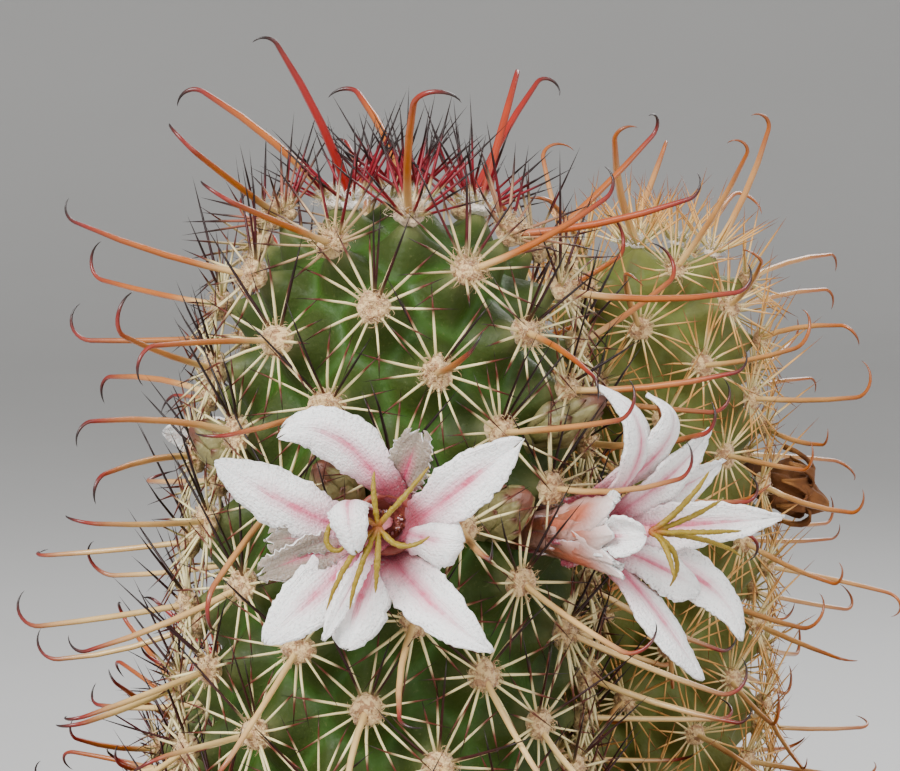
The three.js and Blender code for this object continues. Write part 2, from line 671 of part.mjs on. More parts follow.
function makePistil() {
  const top = new THREE.Vector3(0, 0, STIGMA.rise);
  const bottom = TUBE.floor + SEAT_GAP;
  const style = new THREE.CylinderGeometry(STIGMA.style, STIGMA.style, STIGMA.rise - bottom, 5);
  style.rotateX(Math.PI / 2);
  style.translate(0, 0, (STIGMA.rise + bottom) / 2);
  const lobes = [];
  for (let i = 0; i < STIGMA.lobes; i += 1) {
    const turn = (2 * Math.PI * (i + 0.15 * scatter(i, 8))) / STIGMA.lobes;
    const spread = radians(STIGMA.spread + 8 * scatter(i, 9));
    const out = new THREE.Vector3(Math.cos(turn), Math.sin(turn), 0);
    const length = STIGMA.length * (1 + 0.12 * scatter(i, 10));
    const at = (share, tilt) => top.clone()
      .addScaledVector(out, length * share * Math.sin(tilt))
      .addScaledVector(UP, length * share * Math.cos(tilt) - STIGMA.thick / 2);
    const path = [at(0, spread), at(0.7, spread), at(1, spread + STIGMA.droop)];
    lobes.push(spike(path, [STIGMA.thick, STIGMA.thick, 0], out.clone().cross(UP), 3));
  }
  return wasm.Manifold.union([toSolid(style), ...lobes]);
}

function makeBud(length, radius) {
  const profile = [[0, -1.5], [0.5, -1.5], [0.62, 0.06], [1, 0.42], [0.74, 0.74], [0.36, 0.93], [0, 1]];
  return toSolid(turned(profile.map(([r, z]) => [r * radius, z < 0 ? z : z * length]), 7));
}

// The withered flower: a limp, wrung cone that droops from its axil.
function makeWithered({ length, radius }) {
  const path = [-1.5, 0.25 * length, 0.5 * length, 0.72 * length, length]
    .map((along, i) => new THREE.Vector3(0.4 * Math.sin(i * 2), -0.018 * Math.max(0, along) ** 2, along));
  return spike(path, [1.4, 2.6, 2 * radius, 3.2, 0], new THREE.Vector3(1, 0, 0), 6);
}

// A solid in its growth frame, with its root cut to sit on the stem's body and clear of the
// tubercles on all sides.
function seat(solid, frame, body) {
  const [right, up, axis] = [0, 1, 2]
    .map((column) => new THREE.Vector3().setFromMatrixColumn(frame, column));
  const moves = [axis, right, up, right.clone().negate(), up.clone().negate()];
  const cut = moves.reduce((rest, move) => rest.subtract(
    body.translate(move.clone().multiplyScalar(SEAT_GAP).toArray())), solid.transform(frame.elements));
  return mainBody(cut);
}

// The whole plant in its pot

const plant = new THREE.Group();
plant.name = "potted_cochemiea_capensis";
plant.add(toMesh("pot", makePot(), "clay"));
plant.add(toMesh("soil", makeSoil(Object.values(STEMS)), "soil"));

const grown = {};
for (const [name, stem] of Object.entries(STEMS)) {
  const sites = makeSites(stem);
  const corners = makeCorners(stem, sites);
  const rings = makeRings(sites, corners);
  grown[name] = { sites, corners, rings, body: makeStemBody(stem, makeSkin(sites, corners, rings)) };
}

// Beads along the axis of a flower or bud, in its growth frame.
function leaveCore(frame, length, radius, node) {
  const ends = [new THREE.Vector3(), new THREE.Vector3(0, 0, length)];
  beads.push(...trail(ends.map((point) => point.applyMatrix4(frame)), radius, node));
}

const pistil = makePistil();
for (const [name, spec] of Object.entries(BLOOMS)) {
  const { corners, body } = grown[spec.stem];
  const frame = growthFrame(spec, corners);
  const petals = spec.petals.map(makePetal);
  const bloom = wasm.Manifold.union([makeTube(), ...petals.map((petal) => petal.blade)]);
  plant.add(toMesh(`bloom_${name}`, seat(bloom, frame, body), "petal"));
  const flower = new THREE.Group();
  flower.applyMatrix4(frame);
  flower.add(toMesh(`pistil_${name}`, pistil, "stigma"));
  plant.add(flower);
  for (const path of petals.flatMap((petal) => petal.lines)) {
    beads.push(...trail(path.map((point) => point.clone().applyMatrix4(frame)), 1.1, `bloom_${name}`));
  }
  leaveCore(frame, STIGMA.rise + 4, TUBE.throat, `bloom_${name}`);
}
for (const [name, spec] of Object.entries(BUDS)) {
  const { corners, body } = grown[spec.stem];
  const frame = growthFrame(spec, corners);
  plant.add(toMesh(name, seat(makeBud(spec.length, spec.radius), frame, body), "bud"));
  leaveCore(frame, spec.length, spec.radius, name);
}
const witheredFrame = growthFrame(WITHERED, grown[WITHERED.stem].corners);
const withered = seat(makeWithered(WITHERED), witheredFrame, grown[WITHERED.stem].body);
plant.add(toMesh("withered_bloom", withered, "withered"));
leaveCore(witheredFrame, WITHERED.length, WITHERED.radius + 1, "withered_bloom");

for (const [name, stem] of Object.entries(STEMS)) {
  const { sites, corners, rings } = grown[name];
  const spines = makeSpines(sites, corners, rings, stem, name);
  plant.add(toMesh(name, mainBody(makeStemBody(stem, makeSkin(sites, corners, rings, spines))), "stem"));
}

export default plant;
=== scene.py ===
"""A potted clump of cochemiea capensis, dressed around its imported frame.

The frame gives the pot, the soil, the three stems and every flower and bud at their real size.
This add-on replaces each of them with a finer piece of the same form: smooth skins with their
tubercles, stars of radial spines, hooked spines, felted areoles, petals, pistils, scaly buds, a
thrown clay pot and gritty soil. Lengths in the code are millimetres until a piece is finished.
"""

import math
from collections import namedtuple

import bmesh
import bpy
import numpy as np
from bpy.props import BoolProperty, FloatProperty, FloatVectorProperty, IntProperty, PointerProperty
from mathutils import Matrix, Vector
from mathutils.bvhtree import BVHTree


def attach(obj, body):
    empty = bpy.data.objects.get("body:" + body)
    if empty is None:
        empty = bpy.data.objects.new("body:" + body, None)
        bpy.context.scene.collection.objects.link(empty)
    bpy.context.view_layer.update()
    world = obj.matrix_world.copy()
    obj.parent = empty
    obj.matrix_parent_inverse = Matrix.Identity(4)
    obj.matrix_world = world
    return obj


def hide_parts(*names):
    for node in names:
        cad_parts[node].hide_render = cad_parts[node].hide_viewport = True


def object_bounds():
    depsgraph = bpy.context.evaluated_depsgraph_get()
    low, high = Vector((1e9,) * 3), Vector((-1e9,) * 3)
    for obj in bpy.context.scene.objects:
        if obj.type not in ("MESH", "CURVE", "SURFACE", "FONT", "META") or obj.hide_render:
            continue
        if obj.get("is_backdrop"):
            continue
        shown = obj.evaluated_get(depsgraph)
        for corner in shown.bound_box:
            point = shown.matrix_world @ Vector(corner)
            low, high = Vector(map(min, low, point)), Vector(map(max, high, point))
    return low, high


bl_info = {
    "name": "Potted Cochemiea Capensis",
    "version": (1, 0, 0),
    "blender": (4, 5, 0),
    "location": "View3D > Sidebar > Cactus",
    "description": "Grows a flowering hooked-spined cactus clump in a clay pot",
    "category": "Add Mesh",
}

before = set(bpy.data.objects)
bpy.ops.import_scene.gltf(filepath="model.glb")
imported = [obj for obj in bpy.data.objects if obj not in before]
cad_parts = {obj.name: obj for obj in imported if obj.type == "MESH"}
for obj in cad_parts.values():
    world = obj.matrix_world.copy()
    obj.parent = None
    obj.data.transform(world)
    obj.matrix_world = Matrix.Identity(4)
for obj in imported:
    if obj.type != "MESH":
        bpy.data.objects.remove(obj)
CAD_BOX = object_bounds()
MM = 0.001

# Stems, by the rule that placed their areoles. The axis leaves the soil at root and leans by lean
# degrees towards +X and +Y. The tips of the tubercles lie at radius * (d / (d + taper)) ** blunt, d
# below the crown. Each tubercle covers cell square millimetres, fewer by crown_share at the crown,
# and follows the one before by the golden angle, the way of hand. Hook and ray are the lengths of
# the spines, columns and rows the faces of the skin, and radials and hairs their numbers on an
# areole.
Stem = namedtuple("Stem", (
    "root lean height radius taper blunt cell crown_share crown_reach phase hand tubercle"
    " hook ray columns rows radials pad_detail hairs"))
STEMS = {
    "stem_main": Stem(
        root=(-7.9, -14), lean=(2, 0), height=86, radius=21.7, taper=9.5, blunt=0.35, cell=85.7,
        crown_share=0.93, crown_reach=6.2, phase=170.5, hand=1, tubercle=4.8, hook=22, ray=8.6,
        columns=248, rows=252, radials=15, pad_detail=3, hairs=64),
    "stem_back": Stem(
        root=(20.3, 18), lean=(1, 1), height=80, radius=13.8, taper=5.5, blunt=0.33, cell=58,
        crown_share=0.9, crown_reach=4, phase=165, hand=-1, tubercle=3.6, hook=19, ray=6.8,
        columns=156, rows=184, radials=18, pad_detail=2, hairs=28),
    "stem_offset": Stem(
        root=(-21, 17.5), lean=(-1.5, 1.5), height=33, radius=11.8, taper=4.5, blunt=0.33, cell=48,
        crown_share=0.9, crown_reach=4, phase=60, hand=1, tubercle=3.2, hook=15, ray=6,
        columns=130, rows=90, radials=14, pad_detail=2, hairs=28),
}
SOIL_TOP = 72.0
GOLDEN_ANGLE = 137.508
FIRST_SITE = 0.3
PROFILE_REACH = 6.0
SKIN_REACH = 3.0
BASE_TAPER_LENGTH = 16.0
BASE_TAPER_SHARE = 0.26
CROWN_RELIEF_REACH = 14.0
CROWN_RELIEF_SHARE = 0.3
FOOT_RELIEF_SHARE = 0.25
CONE_SHARE = 1.2

# Where flowers and buds grow: the stem, the numbers of the three areoles round the axil, the lift
# of the axis over the horizon and its swing sideways in degrees
Growth = namedtuple("Growth", "stem around lift swing")
GROWTHS = {
    "bloom_front": Growth("stem_main", (40, 53, 48), 3, -8),
    "bloom_right": Growth("stem_main", (43, 56, 51), 6, 0),
    "bloom_rear": Growth("stem_main", (44, 57, 52), 20, 12),
    "bud_front": Growth("stem_main", (48, 56, 43), 30, 0),
    "bud_front_left": Growth("stem_main", (53, 40, 45), 34, -14),
    "bud_right": Growth("stem_main", (30, 43, 38), 30, 0),
    "bud_left": Growth("stem_main", (42, 50, 37), 34, 0),
    "withered_bloom": Growth("stem_back", (30, 38, 43), -4, 0),
}
BUD_SIZES = {
    "bud_front": (8.5, 2.5),
    "bud_front_left": (8.5, 2.4),
    "bud_right": (10, 2.5),
    "bud_left": (9, 2.5),
}

# Flowers. A petal leaves the throat at its clock angle, seen from in front. Its midrib is a curve
# drawn towards a handle and then to its tip, each given as radius, clock angle and height along
# the flower's axis. Blunt rounds its end, cup hollows it, frayed is the depth of the notches at its
# end, and a sepal is green with a fringe.
TUBE_LENGTH = 10.6
TUBE_THROAT = 3.1
Petal = namedtuple("Petal", "clock handle tip width blunt cup frayed sepal", defaults=(False,))
FRONT_PETALS = [
    Petal(69, (6.4, 69, 13.0), (9.7, 69, 12.6), 3.5, 0.9, 0.12, 1.2, True),
    Petal(-172, (7.5, -170, 12.6), (11.6, -172, 13.2), 3.1, 0.8, 0.1, 1.2, True),
    Petal(-156, (7.5, -158, 12.9), (13.0, -158, 13.6), 3.1, 0.8, 0.1, 1.2, True),
    Petal(-112, (7.2, -108, 14.4), (12.3, -107, 13.8), 5.4, 0.8, -0.1, 0.3),
    Petal(-30, (6.2, -14, 15.4), (7.7, -12, 13.4), 4.6, 1.0, -0.22, 0.5),
    Petal(215, (9.2, 171, 14.8), (16.9, 159, 15.0), 5.1, 0.55, -0.1, 0.5),
    Petal(64, (12.6, 108, 15.6), (12.9, 141, 14.4), 5.0, 0.35, -0.16, 1.6),
    Petal(-128, (8.6, -134, 14.7), (15.8, -135, 15.0), 5.5, 0.5, -0.08, 0.6),
    Petal(-118, (8.0, -118, 14.9), (12.2, -117, 14.9), 1.7, 0.5, 0.2, 0.4),
    Petal(-100, (9.4, -60, 14.9), (15.7, -48, 15.0), 5.2, 0.25, 0.1, 0.3),
    Petal(-17, (8.4, 27, 15.0), (15.7, 32, 15.2), 5.2, 0.4, 0.12, 1.8),
]
RIGHT_PETALS = [
    Petal(132, (4.3, 132, 13.0), (4.8, 131, 14.9), 2.2, 0.3, -0.2, 0.4),
    Petal(-140, (4.3, -140, 13.2), (4.7, -140, 15.1), 2.2, 0.3, -0.2, 0.4),
    Petal(84, (10.0, 80, 20.0), (14.3, 94, 11.6), 4.0, 0.4, -0.16, 0.5),
    Petal(66, (12.0, 60, 22.0), (13.2, 78, 14.8), 4.0, 0.4, -0.16, 0.5),
    Petal(41, (7.0, 41, 16.2), (14.0, 41, 17.2), 4.0, 0.15, 0.1, 1.1),
    Petal(24, (7.4, 24, 16.0), (14.3, 24, 17.0), 4.0, 0.15, 0.12, 1.1),
    Petal(-86, (8.5, -84, 16.4), (15.9, -72, 18.0), 4.5, 0.3, -0.12, 0.5),
    Petal(-28, (11.0, -24, 19.4), (14.9, -52, 20.0), 4.8, 0.4, -0.14, 0.5),
    Petal(-50, (5.6, -45, 15.6), (9.8, -43, 17.0), 4.4, 0.8, -0.15, 0.5),
    Petal(0, (6.5, 0, 17.4), (14.1, 0, 23.0), 4.5, 0.2, 0.14, 0.8),
    Petal(180, (5.4, 180, 15.8), (3.0, 180, 17.6), 3.6, 0.45, -0.3, 0.4),
]
REAR_PETALS = [
    Petal(6, (8.5, 7, 15.2), (16.4, 6, 16.0), 5.0, 0.6, -0.1, 0.5),
    Petal(50, (8.0, 50, 15.4), (14.2, 56, 16.2), 4.6, 0.5, -0.1, 0.6),
    Petal(84, (8.0, 84, 14.6), (13.8, 84, 14.2), 4.4, 0.5, -0.12, 0.5),
    Petal(118, (8.0, 118, 15.2), (14.2, 120, 15.8), 4.8, 0.6, 0.06, 0.8),
    Petal(154, (8.0, 154, 15.6), (14.2, 148, 16.6), 4.6, 0.5, -0.1, 0.6),
    Petal(188, (8.0, 188, 14.8), (13.4, 188, 14.6), 4.8, 0.6, -0.1, 0.5),
    Petal(222, (8.0, 222, 15.4), (13.8, 222, 16.2), 4.6, 0.5, 0.05, 0.8),
    Petal(258, (8.0, 258, 14.6), (13.4, 264, 14.6), 4.8, 0.6, -0.1, 0.5),
    Petal(294, (8.0, 294, 15.6), (13.8, 294, 16.8), 4.6, 0.5, -0.12, 0.6),
    Petal(328, (8.0, 328, 14.6), (12.8, 328, 14.4), 4.4, 0.6, -0.1, 0.5),
]
# The small inner petal of the front flower that folds over the throat: its midrib in the flower's
# own frame
FOLDED_RIB = [
    (-2.0, 1.2, 9.5), (-3.2, 2.6, 16.0), (-3.4, 3.4, 19.0), (-2.6, 0.4, 19.4), (-2.3, -2.5, 17.4),
]
FOLDED_PETAL = Petal(150, None, None, 3.4, 0.9, -0.25, 0.7)
BLOOM_PETALS = {"bloom_front": FRONT_PETALS, "bloom_right": RIGHT_PETALS, "bloom_rear": REAR_PETALS}

# Scales wrapped round a flower's tube. Their reach is the height of the first and of the last tip,
# and how much further the ones on the left of the flower reach.
TUBE_SCALE = Petal(None, None, None, 4.3, 0.25, 0.2, 0.3)
TUBE_SCALE_COUNT = 16
TUBE_SCALE_REACH = {
    "bloom_front": (6.8, 9.4, 0), "bloom_right": (9.4, 11.6, 5.0), "bloom_rear": (7.4, 10.4, 0),
}
TUBE_SCALE_TOP = 15.2

# Radius of the tube at heights along it, and above its mouth of the funnel that its scales stand in
TUBE_HEIGHTS = (-2, 0, 4.8, 8.5, TUBE_LENGTH, 14, 16)
TUBE_RADII = (1.4, 1.6, 1.85, 2.75, TUBE_THROAT, 4.5, 5.3)
TUBE_WALL = 0.6
TUBE_STEPS = 28

# How finely flowers are drawn: points along a midrib, faces across and along a petal and a scale,
# and rings along a style or a stigma lobe
BLADE_STEPS = 64
PETAL_GRID = (14, 46)
SCALE_GRID = (9, 24)
PISTIL_RINGS = 56

# Stamens: their number, the height that they stand on, the heights that they reach, and the half
# sizes of an anther
STAMEN_COUNT = 24
STAMEN_FOOT = 8.3
STAMEN_TOPS = (9.2, 10.4)
ANTHER_SIZE = (0.15, 0.15, 0.26)
FILAMENT_RADII = (0.14, 0.13, 0.12, 0.11, 0.09)

# Stigma lobes: the handles of each lobe's curve in the flower's own frame, after the joint that
# they all leave
JOINTS = {"front": (-0.3, 0, 15.8), "right": (0, 0, 16.2), "rear": (0, 0, 16.2)}
FRONT_LOBES = [
    [(-0.4, 1.6, 17.0), (-0.9, 3.4, 16.8), (-0.6, 5.2, 16.5)],
    [(0.8, 1.4, 17.2), (2.6, 3.2, 17.0), (4.5, 5.7, 16.4)],
    [(0.9, -1.6, 16.9), (2.4, -2.6, 16.8), (4.7, -0.7, 17.4)],
    [(-2.0, -1.4, 17.0), (-3.8, -4.0, 17.0), (-5.1, -7.9, 16.2)],
    [(-1.0, -1.6, 17.4), (-2.4, -4.6, 17.2), (-2.9, -7.8, 16.2)],
    [(-0.1, -1.8, 17.2), (-0.3, -4.0, 17.0), (-0.5, -6.2, 16.3)],
    [(-2.2, 1.6, 17.2), (-5.9, 2.4, 17.2), (-7.0, -3.2, 17.0), (-3.0, -3.6, 17.0),
     (-3.0, -0.6, 17.3)],
]
SIDE_LOBES = [
    [(1.0, 0.4, 18.0), (4.0, 1.4, 19.8), (7.7, 2.5, 20.0)],
    [(1.0, 0.8, 17.4), (3.4, 2.2, 18.2), (5.5, 3.2, 18.0)],
    [(1.2, -0.4, 18.0), (4.8, -1.0, 20.4), (9.4, -3.4, 20.6)],
    [(0.4, -1.2, 18.4), (2.2, -3.2, 18.6), (2.5, -5.6, 16.4)],
    [(0.6, 1.2, 18.4), (2.8, 3.8, 20.2), (4.6, 5.4, 20.4)],
    [(0.8, -0.2, 18.6), (3.0, -0.4, 21.2), (6.4, -0.6, 22.6)],
    [(-0.6, -0.8, 18.2), (-1.8, -2.4, 19.4), (-1.4, -4.6, 19.4)],
]
PISTIL_LOBES = {"front": FRONT_LOBES, "right": SIDE_LOBES, "rear": SIDE_LOBES}

# Half thickness of a stigma lobe and of a style at shares of their length, where a style starts and
# its middle, and the papillae as noise of a size, seed and strength
LOBE_SHARES = (0, 0.1, 0.6, 0.85, 1)
LOBE_RADII = (0.31, 0.28, 0.27, 0.2, 0.05)
STYLE_SHARES = (0, 0.9, 1)
STYLE_RADII = (0.42, 0.5, 0.5)
STYLE_FOOT = (0, 0, 6.4)
STYLE_MIDDLE = (0, 0, 11)
PAPILLAE = ((0.22, 81, 0.3), (0.6, 82, 0.1))

# Buds: their radius at shares of their length, and the scales wrapped round them
BUD_SHARES = (0.06, 0.42, 0.74, 0.93, 1.0)
BUD_RADII = (0.62, 1, 0.74, 0.36, 0)
BUD_STEPS = 24
BUD_SCALE_COUNT = 14
BUD_SCALE_THICKNESS = 0.16

# The withered flower: its length, its radius at shares of it, rings along it and its dry petals
WITHERED_LENGTH = 12.2
WITHERED_SHARES = (0, 0.25, 0.5, 0.74, 0.9, 1)
WITHERED_RADII = (0.75, 1.25, 2.2, 1.7, 1.1, 0.3)
WITHERED_RINGS = 46
DRY_PETAL_COUNT = 9
DRY_PETAL_THICKNESS = 0.22

# Hooked spines that are aimed one by one, by stem: areole number, how far the bend lies to the
# right of and above the areole in millimetres, and where the point curls, in degrees from the right
# towards up, or None where it curls away from the viewer
SEEN_HOOKS = {"stem_main": {
    2: (-5.5, 11.5, 190), 3: (-7.5, 16.8, 213), 4: (4.2, 14.3, None), 5: (-14.5, 12.3, 200),
    6: (0.6, 12.6, -10), 7: (7.9, 14.2, -30), 8: (-8.3, 7.6, None), 9: (18.5, 4, 80),
    10: (-2.5, 8.5, 180), 11: (-9.5, 5, None), 12: (13, 11.8, 60), 14: (14.5, 8, 90),
    16: (-18.4, 5.8, 90), 17: (19, -0.3, 90), 21: (-14.4, 2.1, 90), 22: (6.5, -3, 270),
    24: (-12.3, 0.5, 270), 25: (11.5, 6.5, 120), 26: (-18.3, -0.6, 90), 27: (3.3, 3.5, 60),
    29: (-9, 4.8, 70), 30: (17.3, 2.5, 90), 32: (-9.6, -1.7, 180), 33: (17.5, -2, 90),
    34: (-12.4, 1.1, 270), 35: (12.3, 2.5, 80), 37: (-14.3, 2.5, 270), 38: (12.5, 2, 90),
    42: (-9.2, -0.4, 270), 43: (13.5, 2, 90), 45: (-6.7, -7.7, 270), 47: (-9.2, -1.8, None),
    50: (-11, 1.2, None), 55: (-16.6, -1.9, None), 56: (10.5, -5.8, 45), 58: (-15.8, -5.9, 80),
    59: (15, -8.5, 90), 61: (-1.5, -7.5, 0), 63: (-16.4, -2, 90), 64: (17, -7, 90),
    66: (-6.6, -9.4, None), 67: (11.5, -6.5, 90), 68: (-16.3, -4.4, 90), 69: (6.8, -10.5, 15),
    71: (-12, -2.9, None), 72: (15.7, -3.8, 90), 74: (-2, -8, 0), 76: (-9.6, -2.2, None),
    77: (9, -8, 60), 84: (-12, -6.5, 90),
}, "stem_back": {
    2: (-3.2, 12.6, 0), 3: (5, 11.3, None), 5: (-3.8, 6.7, 180), 6: (6.4, 7.1, -30),
    7: (7.5, 13.3, 180), 8: (-3.5, 13.2, 0), 9: (11.1, 2.3, 270), 12: (2.5, 5.8, 150),
    14: (12.4, 2.3, 270), 17: (8.6, 2.6, 300), 22: (6.2, 2.9, 90), 25: (11.7, 1, 90),
    30: (5.3, -0.5, 90), 33: (8, -0.5, 90), 38: (9.7, -2.2, 90), 43: (8.9, -3, 90),
    46: (9.2, -3.3, 90), 59: (8.2, -2, None), 64: (5, -3, 90), 67: (3.8, -3, 90), 69: (7, -5, 90),
    72: (3.4, -5, 90),
}, "stem_offset": {
    3: (-9.4, 7.7, 150), 6: (-7.1, 7.1, 120), 9: (-6.3, 5.9, 120), 14: (-8.9, 2.4, 90),
    17: (-8, 3, 90),
}}

# Areoles without a hooked spine, and those whose spine has turned amber before its time, with how
# much older it looks
HOOKLESS = {"stem_main": (0, 1, 13, 19, 40, 53), "stem_back": (0, 1), "stem_offset": (0, 1)}
AMBER_HOOKS = {"stem_main": (2, 5)}
AMBER_AGE = 0.05

# Hooked spines by the growth rule, in degrees: their lift over the horizon, how much steeper they
# stand in the crown, how far old ones sag, how much lift, swing and roll vary, and the changes of
# tilt that are tried in turn until one is clear of the flowers. The depths say how fast the crown's
# and the old spines' share grows down the stem.
HOOK_LIFT = 9
CROWN_LIFT = 60
CROWN_LIFT_DEPTH = 6
SAG = 24
SAG_DEPTH = 42
LIFT_SCATTER = 9
SWING_SCATTER = 14
ROLL_SCATTER = 75
TILT_CHANGES = (0, 14, -14, 28, -28, 42, -42)

# Length of hooked spines as a share of the stem's longest: old ones are shorter
OLD_HOOK_SHARE = 0.84
HOOK_AGE_DEPTH = 30
HOOK_LENGTH_SCATTER = 0.07
HOOK_REACH_SHARE = 0.89

# The bow of a hooked spine's shaft between shares of its length, rings round its bend, and its
# thickness along the whole
HOOK_BOW_SHARES = (0, 0.08, 0.28, 0.5, 0.75, 1)
HOOK_BEND_RINGS = 10
HOOK_TAPER_SHARES = (0, 0.08, 0.5, 0.75, 0.9, 1)
HOOK_TAPER = (1.08, 1, 0.95, 0.8, 0.5, 0.08)
HOOK_CLEARANCE = 0.3

# Radial spines: rise off the skin in degrees, for pale and for dark upper ones, each with how much
# it varies and how much more the crown's young ones stand up, and the fan of the dark ones
Rise = namedtuple("Rise", "usual scatter young")
PALE_RISE = Rise(13, 6, 38)
DARK_RISE = Rise(27, 12, 26)
DARK_FAN = 32
DARK_FAN_SCATTER = 15
DARK_LENGTH = 1.36
RADIAL_ROOT = 0.7
RADIAL_SHARES = (0, 0.3, 0.65, 1.0)
RADIAL_TAPER = (1.0, 0.95, 0.72, 0.1)
RADIAL_CLEARANCE = 0.2

# How far above the soil the lowest hooked spines, radial spines and felt grow
HOOK_FLOOR = 4
RADIAL_FLOOR = 2
FELT_FLOOR = 1

# A felt hair's thickness at shares of its length
HAIR_SHARES = (0, 0.35, 0.7, 1.0)
HAIR_TAPER = (1, 0.9, 0.7, 0.2)

# Unevenness of the skin, of the felt pads and of the soil, as noise of a size, seed and strength
SKIN_SWELLS = ((5, 21, 1), (1.8, 22, 0.4))
PAD_LUMPS = ((0.5, 41, 0.22), (1.1, 42, 0.2))
SOIL_LUMPS = ((9, 7, 0.7), (3.2, 8, 0.5), (1.4, 9, 0.3))

# Pot and soil
POT_HEIGHT = 80.0
POT_RIM = 60.0
POT_FOOT = 44.0
POT_WALL = 5.0
POT_FLOOR = 7.0
POT_BAND = 22.0
POT_STEP = 3.0
POT_BAND_SLOPE = 0.6
POT_CHAMFER = 1.2
POT_DRAIN = 7.0
POT_ROUNDING = 1.1
POT_WOBBLE = 0.0022
POT_STEPS = 112
SOIL_STEPS = 150
SEAT_GAP = 0.35
MERGE_DISTANCE = 1e-4

# The photograph's view: picture centre, distance and how far the camera looks down
VIEW_CENTRE = Vector((0, -14, 139.33))
VIEW_DISTANCE = 420.0
VIEW_DROP = math.radians(5)
VIEW_LENS = 168.0

# The stage in metres: how far its floor reaches in front and behind, the radius of its bend, its
# width and height, and its lights by name, setting, place and size
STAGE_FRONT = 3.0
STAGE_BACK = 1.7
STAGE_BEND = 0.8
STAGE_TOP = 3.2
STAGE_WIDTH = 6.4
LIGHTS = (
    ("key_light", "key_power", (-0.42, -0.62, 0.72), 0.42),
    ("fill_light", "fill_power", (0.62, -0.52, 0.42), 0.6),
    ("back_light", "rim_power", (0.3, 0.62, 0.62), 0.4),
)
LIGHT_AIM = Vector((0, 0, 0.12))
SKY_COLOUR = (1.0, 0.985, 0.955, 1)


def srgb(code):
    """Linear colour with full alpha from a six figure code such as 32551e."""
    def linear(level):
        return level / 12.92 if level < 0.04045 else ((level + 0.055) / 1.055) ** 2.4

    return (*(linear(int(code[i:i + 2], 16) / 255) for i in (0, 2, 4)), 1.0)


def blend(first, second, share):
    """The colour at a share of the way from the first to the second."""
    return tuple(a + (b - a) * share for a, b in zip(first, second))


def colour(name, description, code):
    """A colour that the user can change."""
    return FloatVectorProperty(
        name=name, description=description, subtype="COLOR", size=4, min=0, max=1,
        default=srgb(code))


def length(name, description, millimetres):
    """A length that the user can change."""
    return FloatProperty(
        name=name, description=description, unit="LENGTH", min=0, default=millimetres * MM,
        precision=5)


def power(name, watts):
    """The power of a light that the user can change."""
    return FloatProperty(name=name, description="Power in watts", default=watts, min=0)


# Settings

class SkinSettings(bpy.types.PropertyGroup):
    tip: colour("Tubercle tip", "Waxy skin round the areoles", "6c7040")
    flank: colour("Tubercle flank", "Skin on the sides of the tubercles", "36460e")
    furrow: colour("Furrow", "Skin deep between the tubercles", "34560e")
    cork: colour("Cork", "Old skin near the soil", "6e5a3c")
    olive: colour("Olive", "Tint of the second stem's skin", "8b8a48")
    unevenness: length("Unevenness", "How far the skin swells from the plain form", 0.16)


class SpineSettings(bpy.types.PropertyGroup):
    radial_thickness: length("Radial thickness", "Thickness of a radial spine at its root", 0.31)
    hook_thickness: length("Hook thickness", "Thickness of a hooked spine's shaft", 0.7)
    hook_radius: length("Hook radius", "Mean radius of the bend at a hooked spine's end", 1.8)
    hook_turn: FloatProperty(
        name="Hook turn", description="How far a hooked spine turns at its end, on average",
        subtype="ANGLE", default=math.radians(142))
    cream: colour("Cream", "Lower half of a radial spine", "eee1a8")
    russet: colour("Russet", "Middle of a spine", "5e2414")
    crimson: colour("Crimson", "Middle of a young radial spine", "7e081e")
    dark: colour("Dark", "Points and upper radial spines", "1a0706")
    purple: colour("Purple", "Shafts of the dark upper radial spines on old skin", "461416")
    amber: colour("Amber", "Shaft of a younger hooked spine", "a85a18")
    tan: colour("Tan", "Shaft of an old hooked spine and foot of every one", "dfbf80")
    red: colour("Red", "Shaft of the youngest hooked spines", "9c0e0a")
    ember: colour("Ember", "Bend of a hooked spine", "841a12")
    golden: colour("Golden", "Radial spines of the second stem", "d8a45c")
    rust: colour("Rust", "Dark parts of the second stem's spines", "7c4018")


class WoolSettings(bpy.types.PropertyGroup):
    pad_radius: length("Pad radius", "Radius of a grown areole's felt", 1.6)
    pad_height: length("Pad height", "How far the felt rises", 1.05)
    hair_length: length("Hair length", "Length of the felt's curly hairs", 1.25)
    hair_thickness: length("Hair thickness", "Thickness of a hair at its root", 0.09)
    felt: colour("Felt", "Grown areole felt", "e2c08a")
    specks: colour("Specks", "Brown parts of the felt", "9a6a48")
    young: colour("Young wool", "Wool in the crown", "faf4ec")


